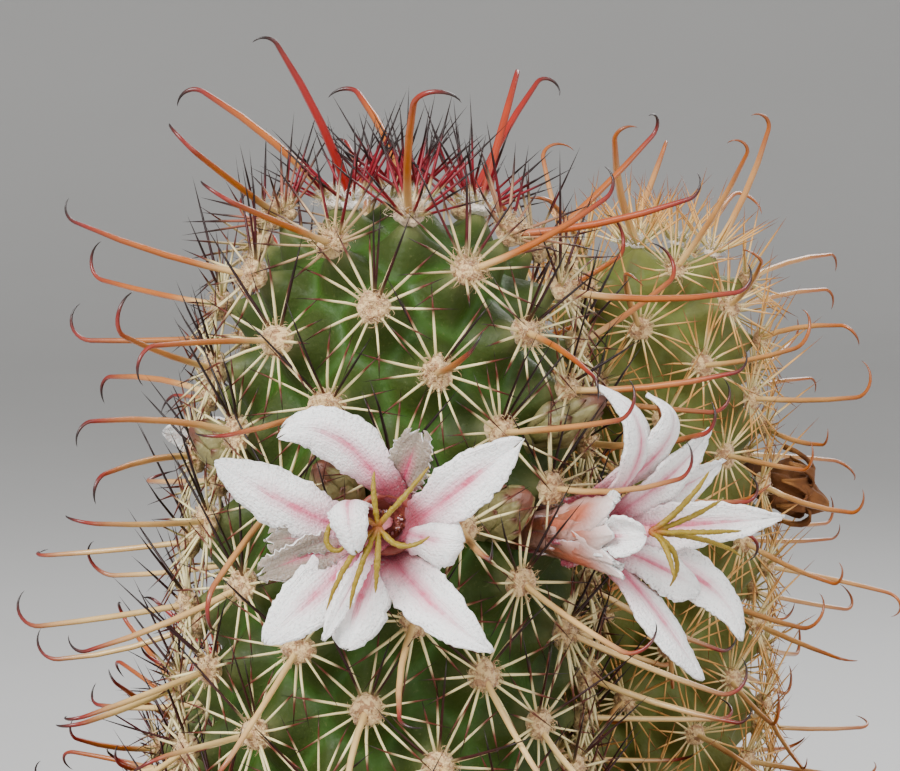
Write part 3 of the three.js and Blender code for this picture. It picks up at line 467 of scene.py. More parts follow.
class FlowerSettings(bpy.types.PropertyGroup):
    petal_thickness: length("Petal thickness", "Thickness of a petal's blade", 0.28)
    white: colour("White", "Margins of the petals", "fffcfa")
    pink: colour("Pink", "Soft blush along the middle of the petals", "e0688a")
    stripe: colour("Stripe", "Narrow midstripe of the petals", "cf3d66")
    rose: colour("Rose", "Base of the petals", "98384a")
    throat: colour("Throat", "Inside of the tube", "74361c")
    # The sepal colour is an olive brown darkened to match a sepal in shade: the sepals' own tone
    # with painted shade in it
    green: colour("Sepal green", "Outer sepals", "6c5636")
    salmon: colour("Salmon", "Middle of the scales that wrap the tube", "b8644a")
    olive: colour("Olive", "Foot of the tube", "7c5038")
    lobe: colour("Stigma", "Stigma lobes", "806a00")
    lobe_ridge: colour("Stigma ridges", "Paler parts of the stigma lobes", "b0942c")
    joint: colour("Stigma joint", "Where the lobes leave the style", "94501c")
    style: colour("Style", "Style and filaments", "d4868f")
    anther: colour("Anther", "Anthers", "7c3c18")
    anther_shade: colour("Anther shade", "Dark parts of the anthers", "5c2410")
    bud: colour("Bud", "Foot of the bud scales", "6f6a38")
    bud_middle: colour("Bud middle", "Middle of the bud scales", "938c5c")
    bud_tip: colour("Bud tip", "Dry ends of the bud scales", "6e4030")
    withered: colour("Withered", "Foot of the spent flower", "4c2808")
    withered_middle: colour("Withered middle", "Middle of the spent flower", "6e4014")
    withered_tip: colour("Withered tip", "Ends of the spent flower", "9c6a34")


class PotSettings(bpy.types.PropertyGroup):
    clay: colour("Clay", "Fired clay", "b5673f")
    bloom: colour("Lime bloom", "Pale mineral bloom on the clay", "d8b79c")
    earth: colour("Earth", "Dark part of the soil", "3b2c20")
    grit: colour("Grit", "Pale part of the grit", "9c8a74")
    grains: IntProperty(name="Grains", description="Loose stones on the soil", default=850, min=0)


class StageSettings(bpy.types.PropertyGroup):
    floor: colour("Floor", "Pale floor and backdrop", "bcbcbc")
    key_power: power("Key light", 16.5)
    fill_power: power("Fill light", 4.2)
    rim_power: power("Back light", 5)
    sky: FloatProperty(
        name="Sky", description="Strength of the even light all round", default=0.62, min=0)
    keep_camera: BoolProperty(
        name="Keep camera", description="Leave the scene's camera as it is", default=False)


# The growth rule of the stems

# An areole: its number from the crown, its depth below it, how much skin lies between, the way
# across the stem, the way out of the skin and the tip of its tubercle
Site = namedtuple("Site", "index depth passed across out tip")

# What varies from one repeat to the next, with the number that shuffles it
SALTS = {
    "hook length": 1, "hook lift": 2, "hook roll": 4, "hook swing": 5, "hook bow": 11,
    "hook turn": 12, "hook thickness": 13, "hook radius": 21, "hook age": 30, "radial count": 14,
    "tube scale": 2, "dry petal length": 3, "dry petal flare": 4,
}


def scatter(index, what):
    """A repeatable number between -1 and 1 for repeat number index of what varies."""
    return ((index * index * 31 + index * 17 + SALTS[what] * 57) % 101) / 50 - 1


def unit(vector):
    vector = np.asarray(vector, float)
    return vector / np.linalg.norm(vector, axis=-1, keepdims=True)


def smooth_step(value):
    value = np.clip(value, 0, 1)
    return value * value * (3 - 2 * value)


def tip_radius(stem, depth):
    """How far the tips of the tubercles stand from the axis, depth below the crown."""
    below = np.maximum(0, depth - (stem.height - BASE_TAPER_LENGTH)) / BASE_TAPER_LENGTH
    rounded = stem.radius * (depth / (depth + stem.taper)) ** stem.blunt
    return rounded * (1 - BASE_TAPER_SHARE * below ** 2)


def stem_axes(stem):
    """Unit vectors along a stem and two across it."""
    lean_x, lean_y = (math.sin(math.radians(angle)) for angle in stem.lean)
    along = unit((lean_x, lean_y, 1))
    east = unit(np.array((1.0, 0, 0)) - along * along[0])
    return along, east, np.cross(along, east)


def axis_point(stem, depth):
    """Point of a stem's axis, depth below the crown."""
    along = stem_axes(stem)[0]
    rise = np.asarray(stem.height - depth)
    return np.array((*stem.root, SOIL_TOP)) + rise[..., None] * along


def walk_profile(stem):
    """Steps down the profile of a stem: depth, tip radius and skin passed, and its areoles."""
    along, east, north = stem_axes(stem)
    sites = []
    steps = [(0.0, 0.0, 0.0)]
    count = 0.0
    while steps[-1][0] < stem.height + PROFILE_REACH:
        depth, radius, passed = steps[-1]
        step = 0.0005 + depth * 0.01 if depth < 3 else 0.04
        next_radius = float(tip_radius(stem, depth + step))
        run = math.hypot(step, next_radius - radius)
        cell = stem.cell * (1 - stem.crown_share * math.exp(-(passed + run / 2) / stem.crown_reach))
        count += math.pi * (radius + next_radius) * run / cell
        while count >= len(sites) + FIRST_SITE:
            turn = math.radians(stem.phase + stem.hand * GOLDEN_ANGLE * len(sites))
            across = east * math.cos(turn) + north * math.sin(turn)
            out = across * (step / run) + along * ((next_radius - radius) / run)
            tip = axis_point(stem, depth + step) + across * next_radius
            sites.append(Site(len(sites), depth + step, passed + run, across, out, tip))
        steps.append((depth + step, next_radius, passed + run))
    return np.array(steps), sites


PROFILES = {name: walk_profile(stem) for name, stem in STEMS.items()}


def furrow_depth(stem, depth, passed):
    """How far the furrows sink below the tips of the tubercles."""
    grown = CROWN_RELIEF_SHARE + (1 - CROWN_RELIEF_SHARE) * passed / CROWN_RELIEF_REACH
    low = np.maximum(0, depth - (stem.height - BASE_TAPER_LENGTH)) / BASE_TAPER_LENGTH
    at_foot = np.maximum(FOOT_RELIEF_SHARE, 1 - (1 - FOOT_RELIEF_SHARE) * low)
    return stem.tubercle * np.minimum(1, grown) * at_foot


def growth_matrix(name):
    """Frame of a flower or bud at its axil: +Z along its axis, +Y upward, +X to its right."""
    growth = GROWTHS[name]
    stem = STEMS[growth.stem]
    along, east, north = stem_axes(stem)
    three = [PROFILES[growth.stem][1][number] for number in growth.around]
    out = unit(sum(site.out for site in three))
    depth = sum(site.depth for site in three) / 3
    passed = sum(site.passed for site in three) / 3
    root = sum(site.tip for site in three) / 3 - out * furrow_depth(stem, depth, passed)
    around = root - axis_point(stem, depth)
    turn = math.atan2(around @ north, around @ east) + math.radians(growth.swing)
    lift = math.radians(growth.lift)
    level = east * math.cos(turn) + north * math.sin(turn)
    axis = Vector(level * math.cos(lift) + along * math.sin(lift))
    upward = Vector((0, 0, 1))
    upward = (upward - axis * axis.z).normalized()
    matrix = Matrix((upward.cross(axis), upward, axis)).transposed().to_4x4()
    matrix.translation = Vector(root)
    return matrix


# Noise in numpy

def soft_noise(points, size, seed):
    """Smooth noise between about -1 and 1 at points, in lumps of the given size."""
    lattice = np.random.default_rng(seed).uniform(-1, 1, (16, 16, 16))
    place = np.asarray(points) / size
    cell = np.floor(place).astype(int)
    part = smooth_step(place - cell)
    total = np.zeros(place.shape[:-1])
    for corner in np.ndindex(2, 2, 2):
        weight = np.where(corner, part, 1 - part).prod(axis=-1)
        i, j, k = np.moveaxis((cell + corner) % 16, -1, 0)
        total += weight * lattice[i, j, k]
    return total


def layered_noise(points, layers):
    """Noise of several sizes, each given as its size, seed and strength."""
    return sum(strength * soft_noise(points, size, seed) for size, seed, strength in layers)


# Finishing meshes

def coordinates(mesh):
    places = np.empty(len(mesh.vertices) * 3)
    mesh.vertices.foreach_get("co", places)
    return places.reshape(-1, 3)


def set_coordinates(mesh, places):
    mesh.vertices.foreach_set("co", np.ascontiguousarray(places, dtype=np.float64).ravel())
    mesh.update()


def add_attribute(mesh, name, values):
    """Gives each corner of a mesh a number that its material reads."""
    attribute = mesh.attributes.new(name, "FLOAT", "POINT")
    attribute.data.foreach_set("value", np.ascontiguousarray(values, dtype=np.float32).ravel())


def finish_piece(name, mesh, materials, slot, *replaced):
    """Scales a mesh to metres, dresses it and lets it ride on the pot's body."""
    mesh.transform(Matrix.Diagonal((MM, MM, MM, 1)))
    mesh.shade_smooth()
    for material in materials:
        mesh.materials.append(material)
    piece = bpy.data.objects.new(name, mesh)
    bpy.context.scene.collection.objects.link(piece)
    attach(piece, "root")
    if replaced:
        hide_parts(*replaced)
    return piece


def to_mesh(name, shape):
    """Ends a bmesh as a mesh with its faces pointing out."""
    bmesh.ops.recalc_face_normals(shape, faces=shape.faces)
    mesh = bpy.data.meshes.new(name)
    shape.to_mesh(mesh)
    shape.free()
    return mesh


# Copies of one small shape

Template = namedtuple("Template", "places loops starts")


def to_template(shape):
    """Corners and faces of a small bmesh that is copied many times."""
    bmesh.ops.recalc_face_normals(shape, faces=shape.faces)
    shape.verts.index_update()
    places = np.array([corner.co for corner in shape.verts])
    loops = [corner.index for face in shape.faces for corner in face.verts]
    starts = np.cumsum([0] + [len(face.verts) for face in shape.faces])[:-1]
    shape.free()
    return Template(places, np.array(loops), starts)


def bar_template(rings, sides):
    """A bar of unit radius with a ring at each whole height and a pointed end."""
    shape = bmesh.new()
    bmesh.ops.create_cone(
        shape, cap_ends=True, segments=sides, radius1=1, radius2=1, depth=rings - 1,
        matrix=Matrix.Translation((0, 0, (rings - 1) / 2)))
    upright = [edge for edge in shape.edges if abs(edge.verts[0].co.z - edge.verts[1].co.z) > 0.5]
    if rings > 2:
        bmesh.ops.subdivide_edges(shape, edges=upright, cuts=rings - 2, use_grid_fill=True)
    top = [corner for corner in shape.verts if corner.co.z > rings - 1.5]
    bmesh.ops.pointmerge(shape, verts=top, merge_co=(0, 0, rings - 1))
    return to_template(shape)


def ball_template(detail):
    shape = bmesh.new()
    bmesh.ops.create_icosphere(shape, subdivisions=detail, radius=1)
    return to_template(shape)


def mesh_of_copies(name, template, places):
    """A mesh of many copies of a template, each with its own corner places."""
    copies, corners = places.shape[:2]
    shift = np.arange(copies)[:, None]
    loops = (template.loops[None] + shift * corners).ravel()
    starts = (template.starts[None] + shift * len(template.loops)).ravel()
    mesh = bpy.data.meshes.new(name)
    mesh.vertices.add(copies * corners)
    mesh.loops.add(len(loops))
    mesh.polygons.add(len(starts))
    mesh.loops.foreach_set("vertex_index", loops.astype(np.int32))
    mesh.polygons.foreach_set("loop_start", starts.astype(np.int32))
    set_coordinates(mesh, places.reshape(-1, 3))
    mesh.update(calc_edges=True)
    mesh.validate()
    return mesh


def bars_along(name, template, centres, radii, sides, **tones):
    """Bars that follow centre lines of points, as thick as radii; sides lie across the bars."""
    ring = np.rint(template.places[:, 2]).astype(int)
    ahead = unit(np.gradient(centres, axis=1))
    sides = np.asarray(sides)[:, None, :]
    sides = unit(sides - ahead * (ahead * sides).sum(axis=2, keepdims=True))
    over = np.cross(ahead, sides)
    x = template.places[None, :, :1]
    y = template.places[None, :, 1:2]
    offset = sides[:, ring] * x + over[:, ring] * y
    places = centres[:, ring] + offset * radii[:, ring, None]
    mesh = mesh_of_copies(name, template, places)
    run = np.linalg.norm(np.diff(centres, axis=1), axis=2).cumsum(axis=1)
    along = np.pad(run, ((0, 0), (1, 0))) / run[:, -1:]
    add_attribute(mesh, "along", along[:, ring])
    for tone, values in tones.items():
        add_attribute(mesh, tone, np.broadcast_to(np.asarray(values)[:, None], places.shape[:2]))
    return mesh


# Shader helpers

FLOAT_SOCKET = "NodeSocketFloat"
COLOUR_SOCKET = "NodeSocketColor"
WHITE = (1, 1, 1, 1)
MIX_SHARE, MIX_FIRST, MIX_SECOND, MIX_RESULT = 0, 6, 7, 2

# What a colour is multiplied by where a mottle darkens it
SKIN_SHADE = (0.62, 0.7, 0.56, 1)
RADIAL_SHADE = (0.86, 0.82, 0.78, 1)
HOOK_SHADE = (0.82, 0.76, 0.7, 1)
SCALE_SHADE = (0.66, 0.62, 0.58, 1)
SOIL_SHADE = (0.55, 0.5, 0.46, 1)
PETAL_DOTS = (0.4, 0.36, 0.37, 1)
BURNT_CLAY = (0.28, 0.11, 0.05, 1)


def feed(tree, socket, value):
    """Sets a socket, or links it where the value is a socket itself."""
    if isinstance(value, bpy.types.NodeSocket):
        tree.links.new(value, socket)
    else:
        socket.default_value = value


def add_node(tree, kind, inputs=None, **settings):
    """A new node with its settings, fed by a table of input sockets."""
    node = tree.nodes.new(kind)
    for name, value in settings.items():
        setattr(node, name, value)
    for key, value in (inputs or {}).items():
        feed(tree, node.inputs[key], value)
    return node


def mix(tree, share, first, second, mode="MIX"):
    """First where share is 0 and second where it is 1."""
    inputs = {MIX_SHARE: share, MIX_FIRST: first, MIX_SECOND: second}
    node = add_node(tree, "ShaderNodeMix", inputs, data_type="RGBA", blend_type=mode)
    return node.outputs[MIX_RESULT]


def calculate(tree, operation, first, second, clamp=False):
    inputs = {0: first, 1: second}
    return add_node(tree, "ShaderNodeMath", inputs, operation=operation, use_clamp=clamp).outputs[0]


def plus(tree, first, second):
    return calculate(tree, "ADD", first, second)


def times(tree, first, second):
    return calculate(tree, "MULTIPLY", first, second)


def remap(tree, value, low, high, to_low=0.0, to_high=1.0):
    """Value from low to high as a soft change from to_low to to_high."""
    inputs = {
        "Value": value, "From Min": low, "From Max": high, "To Min": to_low, "To Max": to_high}
    node = add_node(tree, "ShaderNodeMapRange", inputs, interpolation_type="SMOOTHSTEP")
    return node.outputs["Result"]


def attribute(tree, name):
    return add_node(tree, "ShaderNodeAttribute", attribute_name=name).outputs["Fac"]


def object_place(tree):
    return add_node(tree, "ShaderNodeTexCoord").outputs["Object"]


def split_place(tree, place):
    return add_node(tree, "ShaderNodeSeparateXYZ", {"Vector": place}).outputs


def noise(tree, place, scale, detail, **inputs):
    inputs = {"Vector": place, "Scale": scale, "Detail": detail, **inputs}
    return add_node(tree, "ShaderNodeTexNoise", inputs).outputs["Fac"]


def new_group(name, inputs, outputs):
    """An empty shader group with its sockets: the group, its input node and its output node."""
    group = bpy.data.node_groups.new(name, "ShaderNodeTree")
    for socket_name, kind, value in inputs:
        socket = group.interface.new_socket(socket_name, in_out="INPUT", socket_type=kind)
        socket.default_value = value
    for socket_name, kind in outputs:
        group.interface.new_socket(socket_name, in_out="OUTPUT", socket_type=kind)
    return group, group.nodes.new("NodeGroupInput"), group.nodes.new("NodeGroupOutput")


def mottle_group():
    """Soft patches: a mask from 0 to 1 in lumps of a size, sharper with contrast."""
    inputs = [
        ("Lumps per metre", FLOAT_SOCKET, 300.0), ("Contrast", FLOAT_SOCKET, 0.3),
        ("Shift", FLOAT_SOCKET, 0.0),
    ]
    group, given, result = new_group("Mottle", inputs, [("Mask", FLOAT_SOCKET)])
    place = add_node(group, "ShaderNodeVectorMath", {0: object_place(group)}, operation="ADD")
    shifts = {axis: given.outputs["Shift"] for axis in "XYZ"}
    shift = add_node(group, "ShaderNodeCombineXYZ", shifts)
    group.links.new(shift.outputs[0], place.inputs[1])
    lumps = noise(group, place.outputs[0], given.outputs["Lumps per metre"], 4.0, Roughness=0.6)
    low = times(group, given.outputs["Contrast"], 0.5)
    high = calculate(group, "SUBTRACT", 1.0, low)
    group.links.new(remap(group, lumps, low, high), result.inputs["Mask"])
    return group


def grain_group():
    """Fine surface grain: pits and fibres as a height."""
    inputs = [("Grains per metre", FLOAT_SOCKET, 2000.0), ("Pits", FLOAT_SOCKET, 0.5)]
    group, given, result = new_group("Fine grain", inputs, [("Height", FLOAT_SOCKET)])
    place = object_place(group)
    grains = given.outputs["Grains per metre"]
    fine = noise(group, place, grains, 3.0, Roughness=0.65)
    cells = add_node(group, "ShaderNodeTexVoronoi", {"Vector": place, "Scale": grains})
    pitted = times(group, cells.outputs["Distance"], given.outputs["Pits"])
    group.links.new(plus(group, fine, pitted), result.inputs["Height"])
    return group


def length_tint_group():
    """Colour along a spine or scale: base, middle and end, with soft changes between them."""
    inputs = [
        ("Along", FLOAT_SOCKET, 0.0), ("Base", COLOUR_SOCKET, WHITE),
        ("Middle", COLOUR_SOCKET, WHITE), ("End", COLOUR_SOCKET, WHITE),
        ("Middle from", FLOAT_SOCKET, 0.4), ("Middle to", FLOAT_SOCKET, 0.6),
        ("End from", FLOAT_SOCKET, 0.75), ("End to", FLOAT_SOCKET, 0.9),
    ]
    group, given, result = new_group("Length tint", inputs, [("Colour", COLOUR_SOCKET)])
    sockets = given.outputs
    to_middle = remap(group, sockets["Along"], sockets["Middle from"], sockets["Middle to"])
    to_end = remap(group, sockets["Along"], sockets["End from"], sockets["End to"])
    lower = mix(group, to_middle, sockets["Base"], sockets["Middle"])
    group.links.new(mix(group, to_end, lower, sockets["End"]), result.inputs["Colour"])
    return group


GROUP_MAKERS = {"Mottle": mottle_group, "Fine grain": grain_group, "Length tint": length_tint_group}


def place_group(tree, name, inputs):
    """The output of a shader group, which is made at its first use."""
    group = bpy.data.node_groups.get(name) or GROUP_MAKERS[name]()
    return add_node(tree, "ShaderNodeGroup", inputs, node_tree=group).outputs[0]


def mottle(tree, lumps, contrast=0.3, shift=0.0):
    inputs = {"Lumps per metre": lumps, "Contrast": contrast, "Shift": shift}
    return place_group(tree, "Mottle", inputs)


def grain(tree, grains, pits=0.5):
    return place_group(tree, "Fine grain", {"Grains per metre": grains, "Pits": pits})


def length_tint(tree, along, base, middle, end, middle_span, end_span):
    """Base, middle and end colour along a piece, changing over two spans of its length."""
    return place_group(tree, "Length tint", {
        "Along": along, "Base": base, "Middle": middle, "End": end,
        "Middle from": middle_span[0], "Middle to": middle_span[1],
        "End from": end_span[0], "End to": end_span[1]})


def shaded(tree, colours, patches, shade):
    """Colours times a shade where the patches are 0."""
    shades = mix(tree, patches, shade, WHITE)
    return mix(tree, 1.0, colours, shades, "MULTIPLY")


def new_material(name, **constants):
    """A material with a Principled shader: its tree and that shader. Constants are its sockets."""
    material = bpy.data.materials.new(name)
    material.use_nodes = True
    shader = material.node_tree.nodes["Principled BSDF"]
    for socket, value in constants.items():
        shader.inputs[socket.replace("_", " ")].default_value = value
    return material, material.node_tree, shader


def paint(tree, shader, colours):
    """Gives a shader its colours."""
    feed(tree, shader.inputs["Base Color"], colours)


def roughen(tree, shader, patches, low, high):
    """Roughness from low to high by a mask."""
    feed(tree, shader.inputs["Roughness"], remap(tree, patches, 0.0, 1.0, low, high))


def add_bump(tree, shader, height, distance, strength):
    """Relief from a height, as deep as a distance in millimetres."""
    inputs = {"Height": height, "Distance": distance * MM, "Strength": strength}
    bump = add_node(tree, "ShaderNodeBump", inputs)
    tree.links.new(bump.outputs["Normal"], shader.inputs["Normal"])


# Materials

def skin_material():
    """Living skin: pale and waxy round the areoles, fresh green between them, corky at the foot."""
    given = bpy.context.scene.cactus_skin
    material, tree, shader = new_material(
        "cactus skin", Subsurface_Weight=0.03, Specular_IOR_Level=0.35,
        Subsurface_Radius=(0.4, 1.0, 0.2), Subsurface_Scale=0.0012)
    furrow = attribute(tree, "furrow")
    waxy = plus(tree, furrow, times(tree, mottle(tree, 330), 0.16))
    upper = mix(tree, remap(tree, waxy, 0.16, 0.6), given.tip, given.flank)
    plain = mix(tree, remap(tree, furrow, 0.7, 1.0), upper, given.furrow)
    tinted = times(tree, attribute(tree, "golden"), 0.45)
    skin = mix(tree, tinted, plain, given.olive)
    darker = mix(tree, mottle(tree, 420, 0.55), skin, SKIN_SHADE, "MULTIPLY")
    patched = mix(tree, 0.5, skin, darker)
    freckles = remap(tree, mottle(tree, 2600, 0.1, 5.0), 0.68, 0.8)
    freckled = mix(tree, times(tree, freckles, 0.3), patched, given.tip)
    scars = remap(tree, mottle(tree, 150, 0.2, 3.0), 0.8, 0.94)
    scarred = mix(tree, times(tree, scars, 0.35), freckled, given.cork)
    corky = times(tree, mottle(tree, 260, 0.4), 0.08)
    foot = remap(tree, plus(tree, attribute(tree, "age"), corky), 0.93, 1.08)
    paint(tree, shader, mix(tree, foot, scarred, given.cork))
    roughen(tree, shader, mottle(tree, 700), 0.5, 0.7)
    add_bump(tree, shader, grain(tree, 1900, 0.7), 0.1, 0.5)
    return material


def radial_material():
    """Radial spines: cream below, russet, then dark points; upper ones dark, young ones crimson."""
    given = bpy.context.scene.cactus_spines
    material, tree, shader = new_material(
        "radial spine horn", Roughness=0.44, Specular_IOR_Level=0.35)
    along = attribute(tree, "along")
    pale = length_tint(
        tree, along, given.cream, given.russet, given.dark, (0.44, 0.66), (0.66, 0.9))
    aged = remap(tree, attribute(tree, "age"), 0.3, 0.9)
    dark_base = mix(tree, aged, given.russet, given.cream)
    dark_middle = mix(tree, aged, given.dark, given.purple)
    dark = length_tint(tree, along, dark_base, dark_middle, given.dark, (0.03, 0.2), (0.4, 0.7))
    fresh = length_tint(
        tree, along, given.cream, given.crimson, given.dark, (0.1, 0.24), (0.42, 0.64))
    sunny = length_tint(
        tree, along, given.cream, given.golden, given.rust, (0.1, 0.5), (0.55, 0.9))
    grown = mix(tree, attribute(tree, "dark"), pale, dark)
    usual = mix(tree, attribute(tree, "youth"), grown, fresh)
    mixed = mix(tree, attribute(tree, "golden"), usual, sunny)
    paint(tree, shader, shaded(tree, mixed, mottle(tree, 500), RADIAL_SHADE))
    add_bump(tree, shader, grain(tree, 5000, 0.2), 0.03, 0.4)
    return material


def hook_material():
    """Hooked spines: red when young, amber later and tan in old age, with a dark point."""
    given = bpy.context.scene.cactus_spines
    material, tree, shader = new_material("hooked spine horn", Roughness=0.36, Coat_Weight=0.15)
    along = attribute(tree, "along")
    age = attribute(tree, "age")
    golden = attribute(tree, "golden")
    old = mix(tree, remap(tree, age, 0.1, 0.6), given.amber, given.tan)
    reddened = mix(tree, remap(tree, age, -0.01, 0.04), given.red, old)
    shaft = mix(tree, golden, reddened, mix(tree, 0.35, given.amber, given.tan))
    reddish = calculate(tree, "SUBTRACT", remap(tree, age, 0.06, 0.0), golden, clamp=True)
    base = mix(tree, reddish, given.tan, given.red)
    burnt = mix(tree, 0.5, shaft, given.ember)
    lower = length_tint(tree, along, base, shaft, burnt, (0.04, 0.36), (0.5, 0.76))
    bend = mix(tree, golden, given.ember, given.amber)
    bent = mix(tree, remap(tree, along, 0.68, 0.85), lower, bend)
    point = mix(tree, golden, given.dark, given.rust)
    tipped = mix(tree, remap(tree, along, 0.8, 0.95), bent, point)
    paint(tree, shader, shaded(tree, tipped, mottle(tree, 420), HOOK_SHADE))
    add_bump(tree, shader, grain(tree, 4200, 0.2), 0.03, 0.5)
    return material


def wool_material():
    """Felt: white in the crown, later cream-tan with brown specks."""
    given = bpy.context.scene.cactus_wool
    material, tree, shader = new_material(
        "areole wool", Roughness=0.9, Sheen_Weight=0.3, Sheen_Roughness=0.5)
    speckle = remap(tree, mottle(tree, 1500, 0.5), 0.42, 0.7)
    grown = mix(tree, times(tree, speckle, 0.8), given.felt, given.specks)
    age = remap(tree, attribute(tree, "age"), 0.002, 0.02)
    paint(tree, shader, mix(tree, age, given.young, grown))
    add_bump(tree, shader, grain(tree, 3600, 1.0), 0.2, 0.8)
    return material


def blade_map(tree):
    return add_node(tree, "ShaderNodeUVMap", uv_map="blade").outputs["UV"]


def blade_spot(tree):
    """A place on a blade: its map, how far off the middle and how far from the foot it is."""
    place = blade_map(tree)
    parts = split_place(tree, place)
    off_middle = calculate(tree, "ABSOLUTE", calculate(tree, "SUBTRACT", parts["X"], 0.5), 0.0)
    return place, times(tree, off_middle, 2.0), parts["Y"]


def petal_material(sepal):
    """Petals: white with a pink midstripe that fades before the tip, over a crystalline surface."""
    given = bpy.context.scene.cactus_flowers
    material, tree, shader = new_material(
        "green sepal" if sepal else "white petal", Sheen_Weight=0.0 if sepal else 0.15,
        Subsurface_Weight=0.2, Subsurface_Radius=(1.0, 0.6, 0.6), Subsurface_Scale=0.001)
    place, off_middle, along = blade_spot(tree)
    stretched = add_node(tree, "ShaderNodeMapping", {"Vector": place, "Scale": (34.0, 2.4, 1.0)})
    veins = noise(tree, stretched.outputs[0], 1.0, 2.0)
    wander = times(tree, mottle(tree, 420), 0.26)
    spread = plus(tree, off_middle, plus(tree, wander, times(tree, veins, 0.3)))
    wide = times(tree, remap(tree, spread, 0.95, 0.25), remap(tree, along, 0.92, 0.5))
    narrow = times(tree, remap(tree, spread, 0.44, 0.2), remap(tree, along, 0.92, 0.66))
    # Sepals are mostly the sepal colour, which holds painted shade as well as their own olive-brown
    # tone
    margin = mix(tree, 0.85 if sepal else 0.0, given.white, given.green)
    blade = mix(tree, times(tree, wide, 0.74), margin, given.pink)
    striped = mix(tree, times(tree, narrow, 0.85), blade, given.stripe)
    foot = remap(tree, plus(tree, along, times(tree, veins, 0.16)), 0.66, 0.24)
    blushed = mix(tree, times(tree, foot, 0.66), striped, given.pink)
    rosy = mix(tree, remap(tree, along, 0.36, 0.18), blushed, given.rose)
    dots = remap(tree, mottle(tree, 3400, 0.1, 4.0), 0.56, 0.72)
    grey = times(tree, dots, remap(tree, off_middle, 0.3, 1.0, 0.15, 0.6))
    paint(tree, shader, mix(tree, grey, rosy, PETAL_DOTS))
    roughen(tree, shader, mottle(tree, 2600, 0.2), 0.32, 0.6)
    crystals = plus(tree, grain(tree, 3400, 0.8), times(tree, veins, 1.4))
    add_bump(tree, shader, crystals, 0.16, 0.8)
    return material


def tube_scale_material():
    """Scales round the tube: salmon with cream margins over an olive foot."""
    given = bpy.context.scene.cactus_flowers
    material, tree, shader = new_material(
        "tube scale", Roughness=0.5, Subsurface_Weight=0.15, Subsurface_Radius=(1.0, 0.6, 0.5),
        Subsurface_Scale=0.001)
    _, off_middle, along = blade_spot(tree)
    spread = plus(tree, off_middle, times(tree, mottle(tree, 520), 0.25))
    pale = mix(tree, 0.34, given.white, given.salmon)
    edged = times(tree, remap(tree, spread, 0.3, 1.0), 0.4)
    blade = mix(tree, edged, given.salmon, pale)
    ended = mix(tree, remap(tree, along, 0.5, 1.0), blade, pale)
    paint(tree, shader, mix(tree, remap(tree, along, 0.5, 0.05), ended, given.olive))
    add_bump(tree, shader, grain(tree, 2600, 0.6), 0.12, 0.7)
    return material


def lobe_material():
    """Stigma lobes: olive-yellow and papillate, orange-red where they leave the style."""
    given = bpy.context.scene.cactus_flowers
    material, tree, shader = new_material(
        "stigma lobe", Roughness=0.5, Subsurface_Weight=0.1, Subsurface_Scale=0.0005)
    pale = mix(tree, 0.35, given.lobe, given.lobe_ridge)
    patchy = mix(tree, mottle(tree, 1500, 0.4), given.lobe, pale)
    out_of_joint = remap(tree, attribute(tree, "along"), 0.02, 0.22)
    lobe = mix(tree, out_of_joint, given.joint, patchy)
    paint(tree, shader, mix(tree, attribute(tree, "style"), lobe, given.style))
    add_bump(tree, shader, grain(tree, 5000, 0.8), 0.08, 0.7)
    return material


def plain_living_material(name, first, second, lumps, roughness, bump):
    """Living tissue of two mottled colours with fine grain."""
    material, tree, shader = new_material(name, Roughness=roughness)
    paint(tree, shader, mix(tree, mottle(tree, lumps, 0.4), first, second))
    add_bump(tree, shader, grain(tree, lumps * 4, 0.8), bump, 0.7)
    return material


def scale_material(name, base, middle, end, roughness):
    """Bud scales and dry petals: three colours from foot to end."""
    material, tree, shader = new_material(name, Roughness=roughness)
    along = split_place(tree, blade_map(tree))["Y"]
    tinted = length_tint(tree, along, base, middle, end, (0.1, 0.5), (0.8, 0.98))
    patches = mottle(tree, 700, 0.4)
    paint(tree, shader, shaded(tree, tinted, patches, SCALE_SHADE))
    add_bump(tree, shader, grain(tree, 2200, 0.6), 0.12, 0.7)
    return material


def clay_material():
    """Fired clay with turning marks, speckles and a bloom of lime near the rim and foot."""
    given = bpy.context.scene.cactus_pot
    material, tree, shader = new_material("terracotta")
    place = object_place(tree)
    height = split_place(tree, place)["Z"]
    darker = mix(tree, mottle(tree, 60), given.clay, BURNT_CLAY)
    body = mix(tree, 0.35, given.clay, darker)
    near_foot = remap(tree, height, 0.03, 0.0)
    near_rim = remap(tree, height, 0.062, 0.08)
    edges = times(tree, plus(tree, near_foot, near_rim), 0.75)
    patchy = times(tree, remap(tree, mottle(tree, 45, 0.35, 1.0), 0.35, 0.8), edges)
    stained = mix(tree, patchy, body, given.bloom)
    speckle = remap(tree, mottle(tree, 1400, 0.2, 2.0), 0.72, 0.85)
    paint(tree, shader, mix(tree, times(tree, speckle, 0.35), stained, given.bloom))
    roughen(tree, shader, mottle(tree, 300, 0.2), 0.72, 0.92)
    rings = add_node(tree, "ShaderNodeMapping", {"Vector": place, "Scale": (8.0, 8.0, 700.0)})
    marks = noise(tree, rings.outputs[0], 1.0, 3.0)
    relief = plus(tree, grain(tree, 1500, 0.5), times(tree, marks, 1.4))
    add_bump(tree, shader, relief, 0.25, 0.6)
    return material


def soil_material(loose):
    """Dark earth, and the grit that lies on it in many tones."""
    given = bpy.context.scene.cactus_pot
    material, tree, shader = new_material("loose stones" if loose else "earth", Roughness=0.92)
    tone = attribute(tree, "tone") if loose else mottle(tree, 700, 0.6)
    ground = mix(tree, remap(tree, tone, 0.1, 0.95), given.earth, given.grit)
    patches = mottle(tree, 1300, 0.5, 1.5)
    paint(tree, shader, shaded(tree, ground, patches, SOIL_SHADE))
    height = grain(tree, 1600 if loose else 900, 0.9)
    add_bump(tree, shader, height, 0.3 if loose else 0.8, 0.9)
    return material


